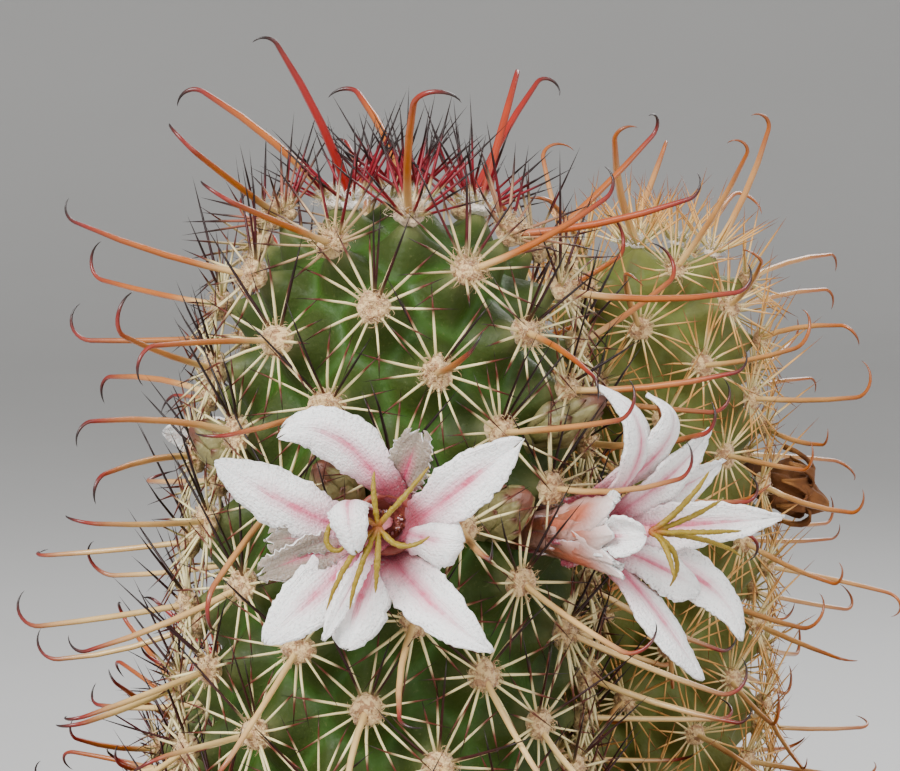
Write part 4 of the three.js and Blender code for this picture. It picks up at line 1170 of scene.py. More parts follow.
def stage_material():
    """Plain pale ground with faint cloudy patches."""
    given = bpy.context.scene.cactus_stage
    material, tree, shader = new_material("pale stage", Roughness=0.85)
    lighter = mix(tree, 0.08, given.floor, WHITE)
    paint(tree, shader, mix(tree, mottle(tree, 3, 0.1), given.floor, lighter))
    return material


# Pot and soil

def pot_outer(height):
    """Outer radius of the pot at a height, without its band."""
    band_bottom = POT_HEIGHT - POT_BAND
    slope = (POT_RIM - POT_STEP - POT_FOOT) / band_bottom
    above = max(0, height - band_bottom)
    return POT_FOOT + slope * (min(height, band_bottom) + POT_BAND_SLOPE * above)


def spin_profile(shape, profile, steps):
    """Turns [radius, height] points about Z into a closed skin in a bmesh."""
    corners = [shape.verts.new((radius, 0, height)) for radius, height in profile]
    edges = [shape.edges.new(pair) for pair in zip(corners, corners[1:])]
    bmesh.ops.spin(
        shape, geom=corners + edges, cent=(0, 0, 0), axis=(0, 0, 1), angle=2 * math.pi,
        steps=steps, use_merge=True)
    bmesh.ops.remove_doubles(shape, verts=shape.verts, dist=MERGE_DISTANCE)


def round_off(profile, radius, points=4):
    """The same profile with its inner corners rounded by short arcs."""
    profile = [np.array(point, float) for point in profile]
    rounded = [profile[0]]
    for before, corner, after in zip(profile, profile[1:], profile[2:]):
        room = min(np.linalg.norm(before - corner), np.linalg.norm(after - corner))
        reach = min(radius, 0.45 * room)
        start = corner + unit(before - corner) * reach
        stop = corner + unit(after - corner) * reach
        for share in np.linspace(0, 1, points):
            left = 1 - share
            rounded.append(left ** 2 * start + 2 * share * left * corner + share ** 2 * stop)
    return rounded + [profile[-1]]


def make_pot():
    """The thrown pot: a turned wall with a rim band and a drain hole, not quite round."""
    band_bottom = POT_HEIGHT - POT_BAND
    drain_middle = POT_FLOOR * 3 / 7
    profile = [
        (POT_DRAIN, drain_middle), (POT_DRAIN, 0),
        (POT_FOOT - POT_CHAMFER, 0), (pot_outer(POT_CHAMFER), POT_CHAMFER),
        (pot_outer(band_bottom), band_bottom), (pot_outer(band_bottom) + POT_STEP, band_bottom),
        (POT_RIM, POT_HEIGHT - POT_CHAMFER), (POT_RIM - POT_CHAMFER, POT_HEIGHT),
        (pot_outer(POT_HEIGHT) - POT_WALL, POT_HEIGHT),
        (pot_outer(band_bottom) - POT_WALL, band_bottom),
        (pot_outer(POT_FLOOR) - POT_WALL, POT_FLOOR),
        (POT_DRAIN, POT_FLOOR), (POT_DRAIN, drain_middle),
    ]
    shape = bmesh.new()
    spin_profile(shape, round_off(profile, POT_ROUNDING), POT_STEPS)
    for corner in shape.verts:
        if corner.co.xy.length > POT_FOOT - 8:
            wobble = soft_noise(np.array(corner.co)[None], 26, 5)[0]
            corner.co.xy *= 1 - POT_WOBBLE * (1 + wobble)
    finish_piece("clay_pot", to_mesh("clay_pot", shape), [clay_material()], "clay", "pot")


def soil_edge(height):
    """Radius that the soil fills at a height."""
    return pot_outer(height) - POT_WALL - SEAT_GAP


def make_soil():
    """Soil that fills the pot, lumpy on top, and the loose stones on it."""
    band_bottom = POT_HEIGHT - POT_BAND
    bottom = POT_FLOOR + SEAT_GAP
    profile = [(0, bottom), (soil_edge(bottom), bottom), (soil_edge(band_bottom), band_bottom)]
    profile += [(soil_edge(SOIL_TOP) * share, SOIL_TOP - 0.4) for share in np.linspace(1, 0, 46)]
    shape = bmesh.new()
    spin_profile(shape, profile, SOIL_STEPS)
    mesh = to_mesh("soil_bed", shape)
    places = coordinates(mesh)
    top = places[:, 2] > SOIL_TOP - 1
    places[top, 2] += layered_noise(places[top], SOIL_LUMPS) - 0.6
    set_coordinates(mesh, places)
    finish_piece("soil_bed", mesh, [soil_material(False)], "soil", "soil")
    make_grit(soil_edge(SOIL_TOP))


def make_grit(edge):
    """Loose stones of many sizes on the soil, clear of the stems."""
    chance = np.random.default_rng(12)
    wanted = bpy.context.scene.cactus_pot.grains
    spots = []
    while len(spots) < wanted:
        size = 0.55 + 1.5 * chance.random() ** 2.4
        spot = chance.uniform(-edge, edge, 2)
        rooted = any(
            np.hypot(*(spot - stem.root)) < 0.66 * stem.radius for stem in STEMS.values())
        if np.hypot(*spot) < edge - size - 0.3 and not rooted:
            spots.append((*spot, size, chance.random()))
    spots = np.array(spots)
    ball = ball_template(2)
    turns = [
        Matrix.Rotation(chance.uniform(0, 6.28), 3, Vector(chance.normal(size=3)))
        for _ in spots]
    squash = chance.uniform(0.6, 1.0, (len(spots), 1, 3))
    stones = ball.places[None] * squash
    lumpy = 1 + 0.22 * soft_noise(stones + spots[:, None, :3], 0.8, 3)
    stones = np.einsum("nij,nkj->nki", np.array(turns), stones * lumpy[..., None])
    stones *= spots[:, None, 2:3]
    seats = np.column_stack((spots[:, :2], SOIL_TOP - 0.9 + 0.45 * spots[:, 2]))
    mesh = mesh_of_copies("grit", ball, stones + seats[:, None])
    add_attribute(mesh, "tone", np.repeat(spots[:, 3], len(ball.places)))
    finish_piece("loose_grit", mesh, [soil_material(True)], "soil")


# Stems

def is_golden(name):
    """The second stem has golden spines; 1 for it and 0 for the others."""
    return float(name == "stem_back")


def two_nearest(places, tips, batch=6000):
    """Distances from places to their nearest and second nearest tips."""
    nearest = np.empty((len(places), 2))
    for start in range(0, len(places), batch):
        gap = np.linalg.norm(places[start:start + batch, None] - tips[None], axis=2)
        nearest[start:start + batch] = np.partition(gap, 1, axis=1)[:, :2]
    return nearest.T


def make_skin(name, material):
    """The skin of a stem: a grid wrapped on the tips of the tubercles and sunk between them."""
    stem = STEMS[name]
    steps, sites = PROFILES[name]
    along, east, north = stem_axes(stem)
    shape = bmesh.new()
    bmesh.ops.create_grid(shape, x_segments=stem.columns, y_segments=stem.rows, size=1)
    mesh = bpy.data.meshes.new(name)
    shape.to_mesh(mesh)
    shape.free()
    flat = coordinates(mesh)
    turn = (flat[:, 0] + 1) * math.pi
    depths, radii, passes = steps.T
    passed = np.interp(stem.height + SKIN_REACH, depths, passes) * (1 - flat[:, 1]) / 2
    depth = np.interp(passed, passes, depths)
    radius = np.interp(passed, passes, radii)
    radius[flat[:, 1] < -1 + 1 / stem.rows] = 0
    across = np.cos(turn)[:, None] * east + np.sin(turn)[:, None] * north
    slope_in = np.interp(passed, passes, np.gradient(depths, passes))
    slope_out = np.interp(passed, passes, np.gradient(radii, passes))
    out = unit(across * slope_in[:, None] + along * slope_out[:, None])
    places = axis_point(stem, depth) + across * radius[:, None]
    nearest, second = two_nearest(places, np.array([site.tip for site in sites]))
    furrow = 2 * nearest / (nearest + second)
    sunk = furrow_depth(stem, depth, passed) * CONE_SHARE * (furrow - furrow ** 6 / 6)
    swell = bpy.context.scene.cactus_skin.unevenness / MM
    sunk = sunk + swell * layered_noise(places, SKIN_SWELLS)
    set_coordinates(mesh, places - out * sunk[:, None])
    add_attribute(mesh, "furrow", furrow)
    add_attribute(mesh, "age", depth / stem.height)
    add_attribute(mesh, "golden", np.full(len(depth), is_golden(name)))
    shape = bmesh.new()
    shape.from_mesh(mesh)
    bmesh.ops.remove_doubles(shape, verts=shape.verts, dist=1e-3)
    bmesh.ops.recalc_face_normals(shape, faces=shape.faces)
    shape.to_mesh(mesh)
    shape.free()
    finish_piece(name.replace("stem", "skin"), mesh, [material], "stem", name)


# Spines

def blossom_tree():
    """Search tree of every flower and bud, which spines keep clear of."""
    places = []
    faces = []
    for name in GROWTHS:
        mesh = bpy.data.objects[f"{name}_shape"].data
        start = len(places)
        places += [corner.co / MM for corner in mesh.vertices]
        faces += [[start + number for number in face.vertices] for face in mesh.polygons]
    return BVHTree.FromPolygons(places, faces)


def is_clear(tree, path, clearance):
    """Whether a path crosses nothing in the tree and its points keep their clearance."""
    for start, stop in zip(path, path[1:]):
        start, stop = Vector(start), Vector(stop)
        ahead = stop - start
        if tree.ray_cast(start, ahead.normalized(), ahead.length)[0] is not None:
            return False
        if tree.find_nearest(stop, clearance)[0] is not None:
            return False
    return True


def across_of(vectors, aims):
    """The part of vectors that lies across aims, at unit length."""
    return unit(vectors - aims * (vectors * aims).sum(axis=-1, keepdims=True))


def hook_path(tip, aim, curl, shaft, radius, turn, bow):
    """Centre line of a hooked spine: a slightly bowed shaft, then a wide bend."""
    points = [tip - aim * 0.5]

    def step(angle, run):
        points.append(points[-1] + (aim * math.cos(angle) + curl * math.sin(angle)) * run)

    for before, share in zip(HOOK_BOW_SHARES, HOOK_BOW_SHARES[1:]):
        step(bow * (before + share - 1), shaft * (share - before))
    for number in range(HOOK_BEND_RINGS):
        angle = bow + (turn - bow) * (number + 0.5) / HOOK_BEND_RINGS
        step(angle, radius * turn / HOOK_BEND_RINGS)
    return np.array(points)


def seen_aim(site, right, up, curl_angle, hook_reach):
    """Aim, curl and reach of a hooked spine from where its bend is seen."""
    rest = hook_reach ** 2 - right ** 2 - up ** 2
    toward = math.copysign(math.sqrt(max(rest, 0.0)), site.out[1])
    aim = np.array((right, toward, up))
    wanted = np.array((0, 1.0, 0.05))
    if curl_angle is not None:
        angle = math.radians(curl_angle)
        wanted = np.array((math.cos(angle), 0.15, math.sin(angle)))
    return unit(aim), across_of(wanted, unit(aim)), np.linalg.norm(aim)


def ruled_aims(stem, site, reach):
    """Aims, curls and reach of a hooked spine by the growth rule, at each change of tilt."""
    along = stem_axes(stem)[0]
    side = np.cross(along, site.across)
    sag = SAG * (1 - math.exp(-(site.depth / SAG_DEPTH) ** 2))
    base_lift = HOOK_LIFT + CROWN_LIFT * math.exp(-site.depth / CROWN_LIFT_DEPTH) - sag
    base_lift += LIFT_SCATTER * scatter(site.index, "hook lift")
    turned_over = 180 if site.index % 4 == 3 else 0
    roll = math.radians(ROLL_SCATTER * scatter(site.index, "hook roll") + turned_over)
    for change in TILT_CHANGES:
        lift = math.radians(base_lift + change)
        swing = math.radians(SWING_SCATTER * scatter(site.index, "hook swing") + change / 2)
        level = site.across * math.cos(swing) + side * math.sin(swing)
        aim = level * math.cos(lift) + along * math.sin(lift)
        upright = across_of(along, aim)
        yield aim, upright * math.cos(roll) + np.cross(aim, upright) * math.sin(roll), reach


def clear_hook(name, site, tree):
    """Centre line of an areole's hooked spine and the way across it, or None without room."""
    stem = STEMS[name]
    given = bpy.context.scene.cactus_spines
    aged = OLD_HOOK_SHARE + (1 - OLD_HOOK_SHARE) * math.exp(-site.depth / HOOK_AGE_DEPTH)
    aged += HOOK_LENGTH_SCATTER * scatter(site.index, "hook length")
    reach = stem.hook * aged * HOOK_REACH_SHARE
    bow = math.radians(7 + 5 * scatter(site.index, "hook bow"))
    turn = given.hook_turn * (1 + 0.2 * scatter(site.index, "hook turn"))
    smaller = stem.hook / STEMS["stem_main"].hook
    radius = given.hook_radius / MM * smaller * (1 + 0.3 * scatter(site.index, "hook radius"))
    aims = ruled_aims(stem, site, reach)
    if site.index in SEEN_HOOKS[name]:
        aims = [seen_aim(site, *SEEN_HOOKS[name][site.index], reach)]
    for aim, curl, far in aims:
        path = hook_path(site.tip, aim, curl, far - radius + 0.5, radius, turn, bow)
        if is_clear(tree, path[2:], HOOK_CLEARANCE):
            return path, unit(np.cross(aim, curl))
    return None


def make_hooks(name, material, tree):
    """Hooked central spines, one to an areole, clear of the flowers."""
    thick = bpy.context.scene.cactus_spines.hook_thickness / MM
    thick *= 1 if name == "stem_main" else 0.9
    paths, sides, radii, ages = [], [], [], []
    for site in PROFILES[name][1]:
        if site.tip[2] < SOIL_TOP + HOOK_FLOOR or site.index in HOOKLESS[name]:
            continue
        found = clear_hook(name, site, tree)
        if found is None:
            continue
        paths.append(found[0])
        sides.append(found[1])
        run = np.append(0, np.linalg.norm(np.diff(found[0], axis=0), axis=1).cumsum())
        young = math.exp(-site.depth / 2.5)
        wide = thick * (1 + 0.35 * young) * (0.95 + 0.08 * scatter(site.index, "hook thickness"))
        radii.append(np.interp(run / run[-1], HOOK_TAPER_SHARES, HOOK_TAPER) * wide / 2)
        age = site.depth / STEMS["stem_main"].height + 0.03 * scatter(site.index, "hook age")
        ages.append(age + (AMBER_AGE if site.index in AMBER_HOOKS.get(name, ()) else 0.0))
    mesh = bars_along(
        name, bar_template(len(paths[0]), 6), np.array(paths), np.array(radii), np.array(sides),
        age=ages, golden=np.full(len(paths), is_golden(name)))
    finish_piece(name.replace("stem", "hooked_spines"), mesh, [material], "spine")


def make_radials(name, material, tree):
    """Radial spines: a pale star on the skin round each areole and dark ones that rise above it."""
    stem = STEMS[name]
    along = stem_axes(stem)[0]
    chance = np.random.default_rng(31 + len(name))
    roots, tips, widths, tones = [], [], [], []
    for site in PROFILES[name][1]:
        if site.tip[2] < SOIL_TOP + RADIAL_FLOOR:
            continue
        up = across_of(along, site.out)
        side = np.cross(site.out, up)
        young = math.exp(-site.depth / 4)
        pale = stem.radials + int(round(scatter(site.index, "radial count") - 6 * young))
        upper = 2 + (site.index * 7 % 3 > 0)
        for number in range(pale + upper):
            dark = number >= pale
            turn = 2 * math.pi * (number + 0.28 * chance.uniform(-1, 1)) / pale
            rise = PALE_RISE.usual + PALE_RISE.scatter * chance.normal()
            rise += (PALE_RISE.young + 14 * chance.uniform(-1, 1)) * young
            full = 1 + 0.1 * chance.uniform(-1, 1) + (0.25 + 0.2 * chance.uniform(-1, 1)) * young
            width = 1 + 0.15 * young
            if dark:
                fan = 2 * (number - pale) / (upper - 1) - 1
                turn = math.radians(DARK_FAN * fan + DARK_FAN_SCATTER * chance.normal())
                rise = DARK_RISE.usual + DARK_RISE.scatter * chance.normal()
                rise += DARK_RISE.young * young
                full = DARK_LENGTH + 0.28 * chance.uniform(-1, 1)
                width = 1.05
            way = up * math.cos(turn) + side * math.sin(turn)
            rise = math.radians(rise)
            heading = way * math.cos(rise) + site.out * math.sin(rise)
            root = site.tip + way * RADIAL_ROOT + site.out * 0.1
            for share in (1, 0.72):
                tip = root + heading * (stem.ray * full * share - RADIAL_ROOT)
                if is_clear(tree, [root, tip], RADIAL_CLEARANCE):
                    roots.append(root)
                    tips.append(tip)
                    widths.append(width)
                    tones.append((dark, min(1, 1.5 * young), site.depth / stem.height))
                    break
    roots, tips = np.array(roots), np.array(tips)
    shares = np.array(RADIAL_SHARES)
    centres = roots[:, None] + (tips - roots)[:, None] * shares[None, :, None]
    sides = unit(np.cross(tips - roots, chance.normal(size=roots.shape)))
    bow = np.sin(shares * math.pi)[None, :, None] * chance.normal(0, 0.16, (len(roots), 1, 1))
    centres = centres + sides[:, None] * bow
    thick = bpy.context.scene.cactus_spines.radial_thickness / MM
    thick *= stem.ray / STEMS["stem_main"].ray
    taper = np.array(RADIAL_TAPER) * thick / 2
    radii = taper * np.array(widths)[:, None] * chance.uniform(0.82, 1.12, (len(roots), 1))
    darks, youths, ages = np.array(tones, float).T
    mesh = bars_along(
        name, bar_template(len(shares), 5), centres, radii, sides, age=ages, dark=darks,
        youth=youths, golden=np.full(len(ages), is_golden(name)))
    finish_piece(name.replace("stem", "radial_spines"), mesh, [material], "spine")


# Wool

# The felted areoles of a stem: where they are, the ways out of the skin, up and across, their ages,
# sizes as shares of a grown one on the main stem, and the radius and height of their pads
Felts = namedtuple("Felts", "tips outs ups sides ages grown wide high")


def felts_of(stem, sites):
    given = bpy.context.scene.cactus_wool
    along = stem_axes(stem)[0]
    scale = stem.ray / STEMS["stem_main"].ray
    grown = [min(1, 0.5 + 0.5 * site.passed / CROWN_RELIEF_REACH) for site in sites]
    grown = np.array(grown) * scale
    outs = np.array([site.out for site in sites])
    ups = across_of(along, outs)
    return Felts(
        tips=np.array([site.tip for site in sites]), outs=outs, ups=ups, sides=np.cross(outs, ups),
        ages=np.array([site.depth for site in sites]) / stem.height, grown=grown,
        wide=given.pad_radius / MM * grown, high=given.pad_height / MM * grown)


def make_pads(name, felts, material):
    """Felt pads on the areoles."""
    ball = ball_template(STEMS[name].pad_detail)
    x, y, z = (ball.places[None, :, axis, None] for axis in range(3))
    flat = (felts.sides[:, None] * x + felts.ups[:, None] * y) * felts.wide[:, None, None]
    pads = felts.tips[:, None] + flat + felts.outs[:, None] * z * felts.high[:, None, None]
    lumpy = layered_noise(pads, PAD_LUMPS)
    pads = pads + (pads - felts.tips[:, None]) * lumpy[..., None]
    mesh = mesh_of_copies(name, ball, pads)
    add_attribute(mesh, "age", np.repeat(felts.ages, len(ball.places)))
    finish_piece(name.replace("stem", "areole_felt"), mesh, [material], "wool")


def make_hairs(name, felts, material):
    """Curly hairs that stand out of the felt pads, more and longer in the crown."""
    given = bpy.context.scene.cactus_wool
    chance = np.random.default_rng(51 + len(name))
    youth = np.exp(-felts.ages * 12)
    counts = (STEMS[name].hairs * (1 + 1.2 * youth)).astype(int)
    owner = np.repeat(np.arange(len(counts)), counts)
    tips, outs, ups, sides, ages, grown, wide, high = (part[owner] for part in felts)
    turn = chance.uniform(0, 2 * math.pi, len(owner))
    spread = np.sqrt(chance.uniform(0, 1, len(owner)))
    way = sides * np.cos(turn)[:, None] + ups * np.sin(turn)[:, None]
    lean = spread * 1.2 + chance.normal(0, 0.3, len(owner))
    heading = way * np.sin(lean)[:, None] + outs * np.cos(lean)[:, None]
    roots = tips + way * (spread * wide * 0.95)[:, None]
    roots = roots + outs * (high * np.sqrt(1 - 0.85 * spread ** 2) * 0.8)[:, None]
    reach = given.hair_length / MM * (1 + 1.3 * youth[owner])
    reach = reach * chance.uniform(0.5, 1.0, len(owner)) * grown
    bend = across_of(chance.normal(size=(len(owner), 3)), heading) * 0.5
    curl = np.cross(heading, bend)
    shares = np.array(HAIR_SHARES)[None, :, None]
    centres = heading[:, None] * np.sin(1.6 * shares) * 0.62 + bend[:, None] * shares ** 2 * 1.3
    centres = centres + curl[:, None] * np.sin(3.6 * shares) * 0.5
    centres = roots[:, None] + centres * reach[:, None, None]
    thick = given.hair_thickness / MM * chance.uniform(0.7, 1.2, (len(owner), 1))
    radii = np.array(HAIR_TAPER)[None] * thick / 2
    mesh = bars_along(
        name, bar_template(len(HAIR_SHARES), 3), centres, radii, bend + 0.3 * curl, age=ages)
    finish_piece(name.replace("stem", "areole_hairs"), mesh, [material], "wool")


def make_wool(name, material):
    """Felt pads on the areoles of a stem and the hairs that stand out of them."""
    sites = [site for site in PROFILES[name][1] if site.tip[2] > SOIL_TOP + FELT_FLOOR]
    felts = felts_of(STEMS[name], sites)
    make_pads(name, felts, material)
    make_hairs(name, felts, material)


# Blades: petals, scales and dry petals

def bezier(handles, count):
    """Points along the curve that a row of handles draws."""
    shares = np.linspace(0, 1, count)[:, None]
    rows = [np.broadcast_to(np.asarray(handle, float), (count, 3)) for handle in handles]
    while len(rows) > 1:
        rows = [first + (second - first) * shares for first, second in zip(rows, rows[1:])]
    return rows[0]


def polar(radius, clock, height):
    turn = math.radians(clock)
    return np.array((radius * math.cos(turn), radius * math.sin(turn), height))


def tube_outer(height):
    """Radius of the tube, and above its mouth of the funnel that its scales stand in."""
    return float(np.interp(height, TUBE_HEIGHTS, TUBE_RADII))


def petal_rib(petal, outer):
    """Midrib of a petal, which rises inside the tube or from its outside and leans out."""
    start, low = (2.35, 6.6) if outer else (1.7, 8.4)
    return bezier([
        polar(start, petal.clock, low), polar(start + 0.4, petal.clock, low + 3.4),
        polar(*petal.handle), polar(*petal.tip)], BLADE_STEPS)


def tube_scale_rib(number, reach):
    """Midrib of a scale on the tube, between the first and last heights of the flower's reach."""
    clock = 20 + number * GOLDEN_ANGLE
    share = number / TUBE_SCALE_COUNT
    low = 0.4 + 5.6 * share
    first, last, leftward = reach
    facing = math.sqrt(max(0.0, -math.cos(math.radians(clock))))
    high = min(first + (last - first) * share + leftward * facing, TUBE_SCALE_TOP)
    stand = 0.3 + 0.3 * scatter(number, "tube scale")
    return bezier([
        polar(tube_outer(low) + 0.05, clock, low), polar(tube_outer(low + 3) + 0.1, clock, low + 3),
        polar(tube_outer(high - 2) + 0.2, clock, high - 2.4),
        polar(tube_outer(high) + stand, clock, high)], BLADE_STEPS)


def half_widths(petal, rib):
    """Half widths along a midrib: narrow in the tube, widest before the middle, then closing."""
    run = np.linalg.norm(np.diff(rib, axis=0), axis=1).cumsum()
    shares = np.append(0, run / run[-1])
    lead = 0.0
    if petal.handle:
        free = np.hypot(rib[:, 0], rib[:, 1]) > TUBE_THROAT + 0.4
        lead = float(shares[free.argmax()])
    blade = np.clip((shares - lead) / (1 - lead), 0, 1)
    rise = 0.66 + 0.34 * smooth_step(blade / 0.4)
    past = np.clip((blade - 0.42) / 0.58, 0, 1)
    fall = (1 - past ** (1.3 + 1.7 * petal.blunt)) ** (1.05 - 0.5 * petal.blunt)
    full = petal.width / 2 * rise * np.maximum(fall, 0.03)
    if lead:
        full = 1.5 + (full - 1.5) * smooth_step(shares / lead)
    return shares, full


def thicken_grid(shape, corners, thickness):
    """Gives a grid in a bmesh its thickness; its faces."""
    faces = list({piece for corner in corners for piece in corner.link_faces})
    bmesh.ops.recalc_face_normals(shape, faces=faces)
    result = bmesh.ops.solidify(shape, geom=faces, thickness=thickness)
    made = {item for item in result["geom"] if isinstance(item, bmesh.types.BMFace)} | set(faces)
    return [piece for piece in made if piece.is_valid]


def add_blade(shape, petal, rib, number, matrix, material_index, grid_size, side=None):
    """A blade across a midrib: hollowed, frayed at its end and edges and given its thickness."""
    shares, widths = half_widths(petal, rib)
    ahead = unit(np.gradient(rib, axis=0))
    if side is None:
        turn = np.arctan2(rib[:, 1], rib[:, 0])
        side = np.column_stack((-np.sin(turn), np.cos(turn), np.zeros(len(rib))))
    side = across_of(side, ahead)
    columns, rows = grid_size
    grid = bmesh.ops.create_grid(
        shape, x_segments=columns, y_segments=rows, size=1, calc_uvs=True)["verts"]
    flat = np.array([corner.co for corner in grid])
    across, along = flat[:, 0], (flat[:, 1] + 1) / 2
    still = np.zeros(len(across))
    notches = np.column_stack((across * 2.2 + number * 7.3, still, still))
    notch = 0.5 + 0.5 * soft_noise(notches, 0.6, 61)
    full_length = np.linalg.norm(np.diff(rib, axis=0), axis=1).sum()
    reach = along - petal.frayed / full_length * notch * smooth_step((along - 0.6) / 0.4)
    half = np.interp(reach, shares, widths)
    centre, sideways, forward = (
        np.column_stack([np.interp(reach, shares, column) for column in line.T])
        for line in (rib, side, ahead))
    face = unit(np.cross(forward, sideways))
    edge = across ** 2
    chance = np.random.default_rng(number + 5).uniform(0, 1, (2, rows + 1))
    row = np.rint(along * rows).astype(int)
    tooth = chance[(across > 0).astype(int), row] * (0.5 if petal.sepal else 0.2)
    tooth = tooth * (np.abs(across) > 0.99)
    frills = np.column_stack((along * 20, np.sign(across) * 3, still + number))
    frill = 1 + 0.07 * soft_noise(frills, 1.0, 62)
    waves = np.column_stack((along * 6, across, still + number * 3.1))
    wave = 0.2 * edge * soft_noise(waves, 1.0, 63)
    channel = 0.14 * np.exp(-(across / 0.2) ** 2)
    lift = half * (petal.cup * edge * 2 + wave) - channel
    outward = across * half * frill + np.sign(across) * tooth
    places = centre + sideways * outward[:, None] + face * lift[:, None]
    for corner, place in zip(grid, places):
        corner.co = place
    thickness = bpy.context.scene.cactus_flowers.petal_thickness / MM
    made = thicken_grid(shape, grid, thickness)
    for piece in made:
        piece.material_index = material_index
    corners = {corner for piece in made for corner in piece.verts}
    bmesh.ops.transform(shape, matrix=matrix, verts=list(corners))


# Flowers

PETAL_SKIN, SEPAL_SKIN, TUBE_SKIN, THROAT_SKIN = range(4)


def make_bloom(name, skins):
    """An open flower: its tube with scales round it and its petals."""
    matrix = growth_matrix(name)
    shape = bmesh.new()
    shape.loops.layers.uv.new("blade")
    inner = TUBE_THROAT - TUBE_WALL
    profile = [(0, -2), (1.0, -2), (1.4, -1.4)]
    profile += [(tube_outer(height), height) for height in np.linspace(0, TUBE_LENGTH, 14)]
    profile += [(inner, TUBE_LENGTH), (inner - 0.3, 9.8), (1.5, 8.8), (0, 8.5)]
    spin_profile(shape, profile, TUBE_STEPS)
    for face in shape.faces:
        middle = face.calc_center_median()
        inside = middle.z > 6 and middle.xy.length < tube_outer(middle.z) - 0.2
        face.material_index = THROAT_SKIN if inside else TUBE_SKIN
    bmesh.ops.transform(shape, matrix=matrix, verts=shape.verts)
    for number in range(TUBE_SCALE_COUNT):
        rib = tube_scale_rib(number, TUBE_SCALE_REACH[name])
        add_blade(shape, TUBE_SCALE, rib, number, matrix, TUBE_SKIN, SCALE_GRID)
    for number, petal in enumerate(BLOOM_PETALS[name]):
        rib = petal_rib(petal, petal.sepal or number % 2 == 1)
        skin = SEPAL_SKIN if petal.sepal else PETAL_SKIN
        add_blade(shape, petal, rib, number, matrix, skin, PETAL_GRID)
    if name == "bloom_front":
        rib = bezier(FOLDED_RIB, BLADE_STEPS)
        side = np.broadcast_to((1.0, 0.05, 0.0), rib.shape)
        add_blade(shape, FOLDED_PETAL, rib, 30, matrix, PETAL_SKIN, PETAL_GRID, side)
    finish_piece(f"{name}_shape", to_mesh(name, shape), skins, "petal", name)


def make_stamens(name, filament_skin, anther_skin):
    """A ring of short stamens inside the tube."""
    matrix = growth_matrix(f"bloom_{name}")
    chance = np.random.default_rng(71 + len(name))
    turn = chance.uniform(0, 2 * math.pi, STAMEN_COUNT)
    start = chance.uniform(0.9, 1.3, STAMEN_COUNT)
    stop = chance.uniform(0.8, 1.6, STAMEN_COUNT)
    top = chance.uniform(*STAMEN_TOPS, STAMEN_COUNT)
    shares = np.linspace(0, 1, len(FILAMENT_RADII))[None, :]
    radius = start[:, None] + (stop - start)[:, None] * shares ** 2
    height = STAMEN_FOOT + (top[:, None] - STAMEN_FOOT) * shares
    lines = np.stack(
        (radius * np.cos(turn)[:, None], radius * np.sin(turn)[:, None], height), axis=2)
    turned = np.array(matrix.to_3x3())
    lines = lines @ turned.T + np.array(matrix.translation)
    sides = unit(np.cross(lines[:, -1] - lines[:, 0], chance.normal(size=(STAMEN_COUNT, 3))))
    radii = np.broadcast_to(np.array(FILAMENT_RADII), height.shape)
    mesh = bars_along(name, bar_template(len(FILAMENT_RADII), 4), lines, radii, sides)
    finish_piece(f"filaments_{name}", mesh, [filament_skin], "stigma")
    ball = ball_template(1)
    anthers = lines[:, -1, None] + (ball.places * ANTHER_SIZE) @ turned.T
    mesh = mesh_of_copies(name, ball, anthers)
    finish_piece(f"anthers_{name}", mesh, [anther_skin], "stigma")


def make_pistil(name, lobe_skin):
    """Style and stigma lobes, rough with papillae."""
    matrix = growth_matrix(f"bloom_{name}")
    joint = JOINTS[name]
    lines = [bezier([joint, *handles], PISTIL_RINGS) for handles in PISTIL_LOBES[name]]
    lines.append(bezier([STYLE_FOOT, STYLE_MIDDLE, joint], PISTIL_RINGS))
    shares = np.linspace(0, 1, PISTIL_RINGS)
    widths = [np.interp(shares, LOBE_SHARES, LOBE_RADII)] * (len(lines) - 1)
    widths.append(np.interp(shares, STYLE_SHARES, STYLE_RADII))
    lines = np.array(lines) @ np.array(matrix.to_3x3()).T + np.array(matrix.translation)
    steps = np.diff(lines, axis=1)
    sides = unit(np.cross(steps[:, :-1], steps[:, 1:]).sum(axis=1) + 1e-6)
    template = bar_template(PISTIL_RINGS, 10)
    styles = [0] * (len(lines) - 1) + [1]
    mesh = bars_along(name, template, lines, np.array(widths), sides, style=styles)
    ring = np.rint(template.places[:, 2]).astype(int)
    centres = lines[:, ring].reshape(-1, 3)
    places = coordinates(mesh)
    rough = 1 + layered_noise(places, PAPILLAE)
    set_coordinates(mesh, centres + (places - centres) * rough[:, None])
    finish_piece(f"pistil_{name}_shape", mesh, [lobe_skin], "stigma", f"pistil_{name}")


# Buds and the withered flower

def bud_body(share):
    """Radius of a bud, as a share of its greatest, at a share of its length."""
    return np.interp(share, BUD_SHARES, BUD_RADII)


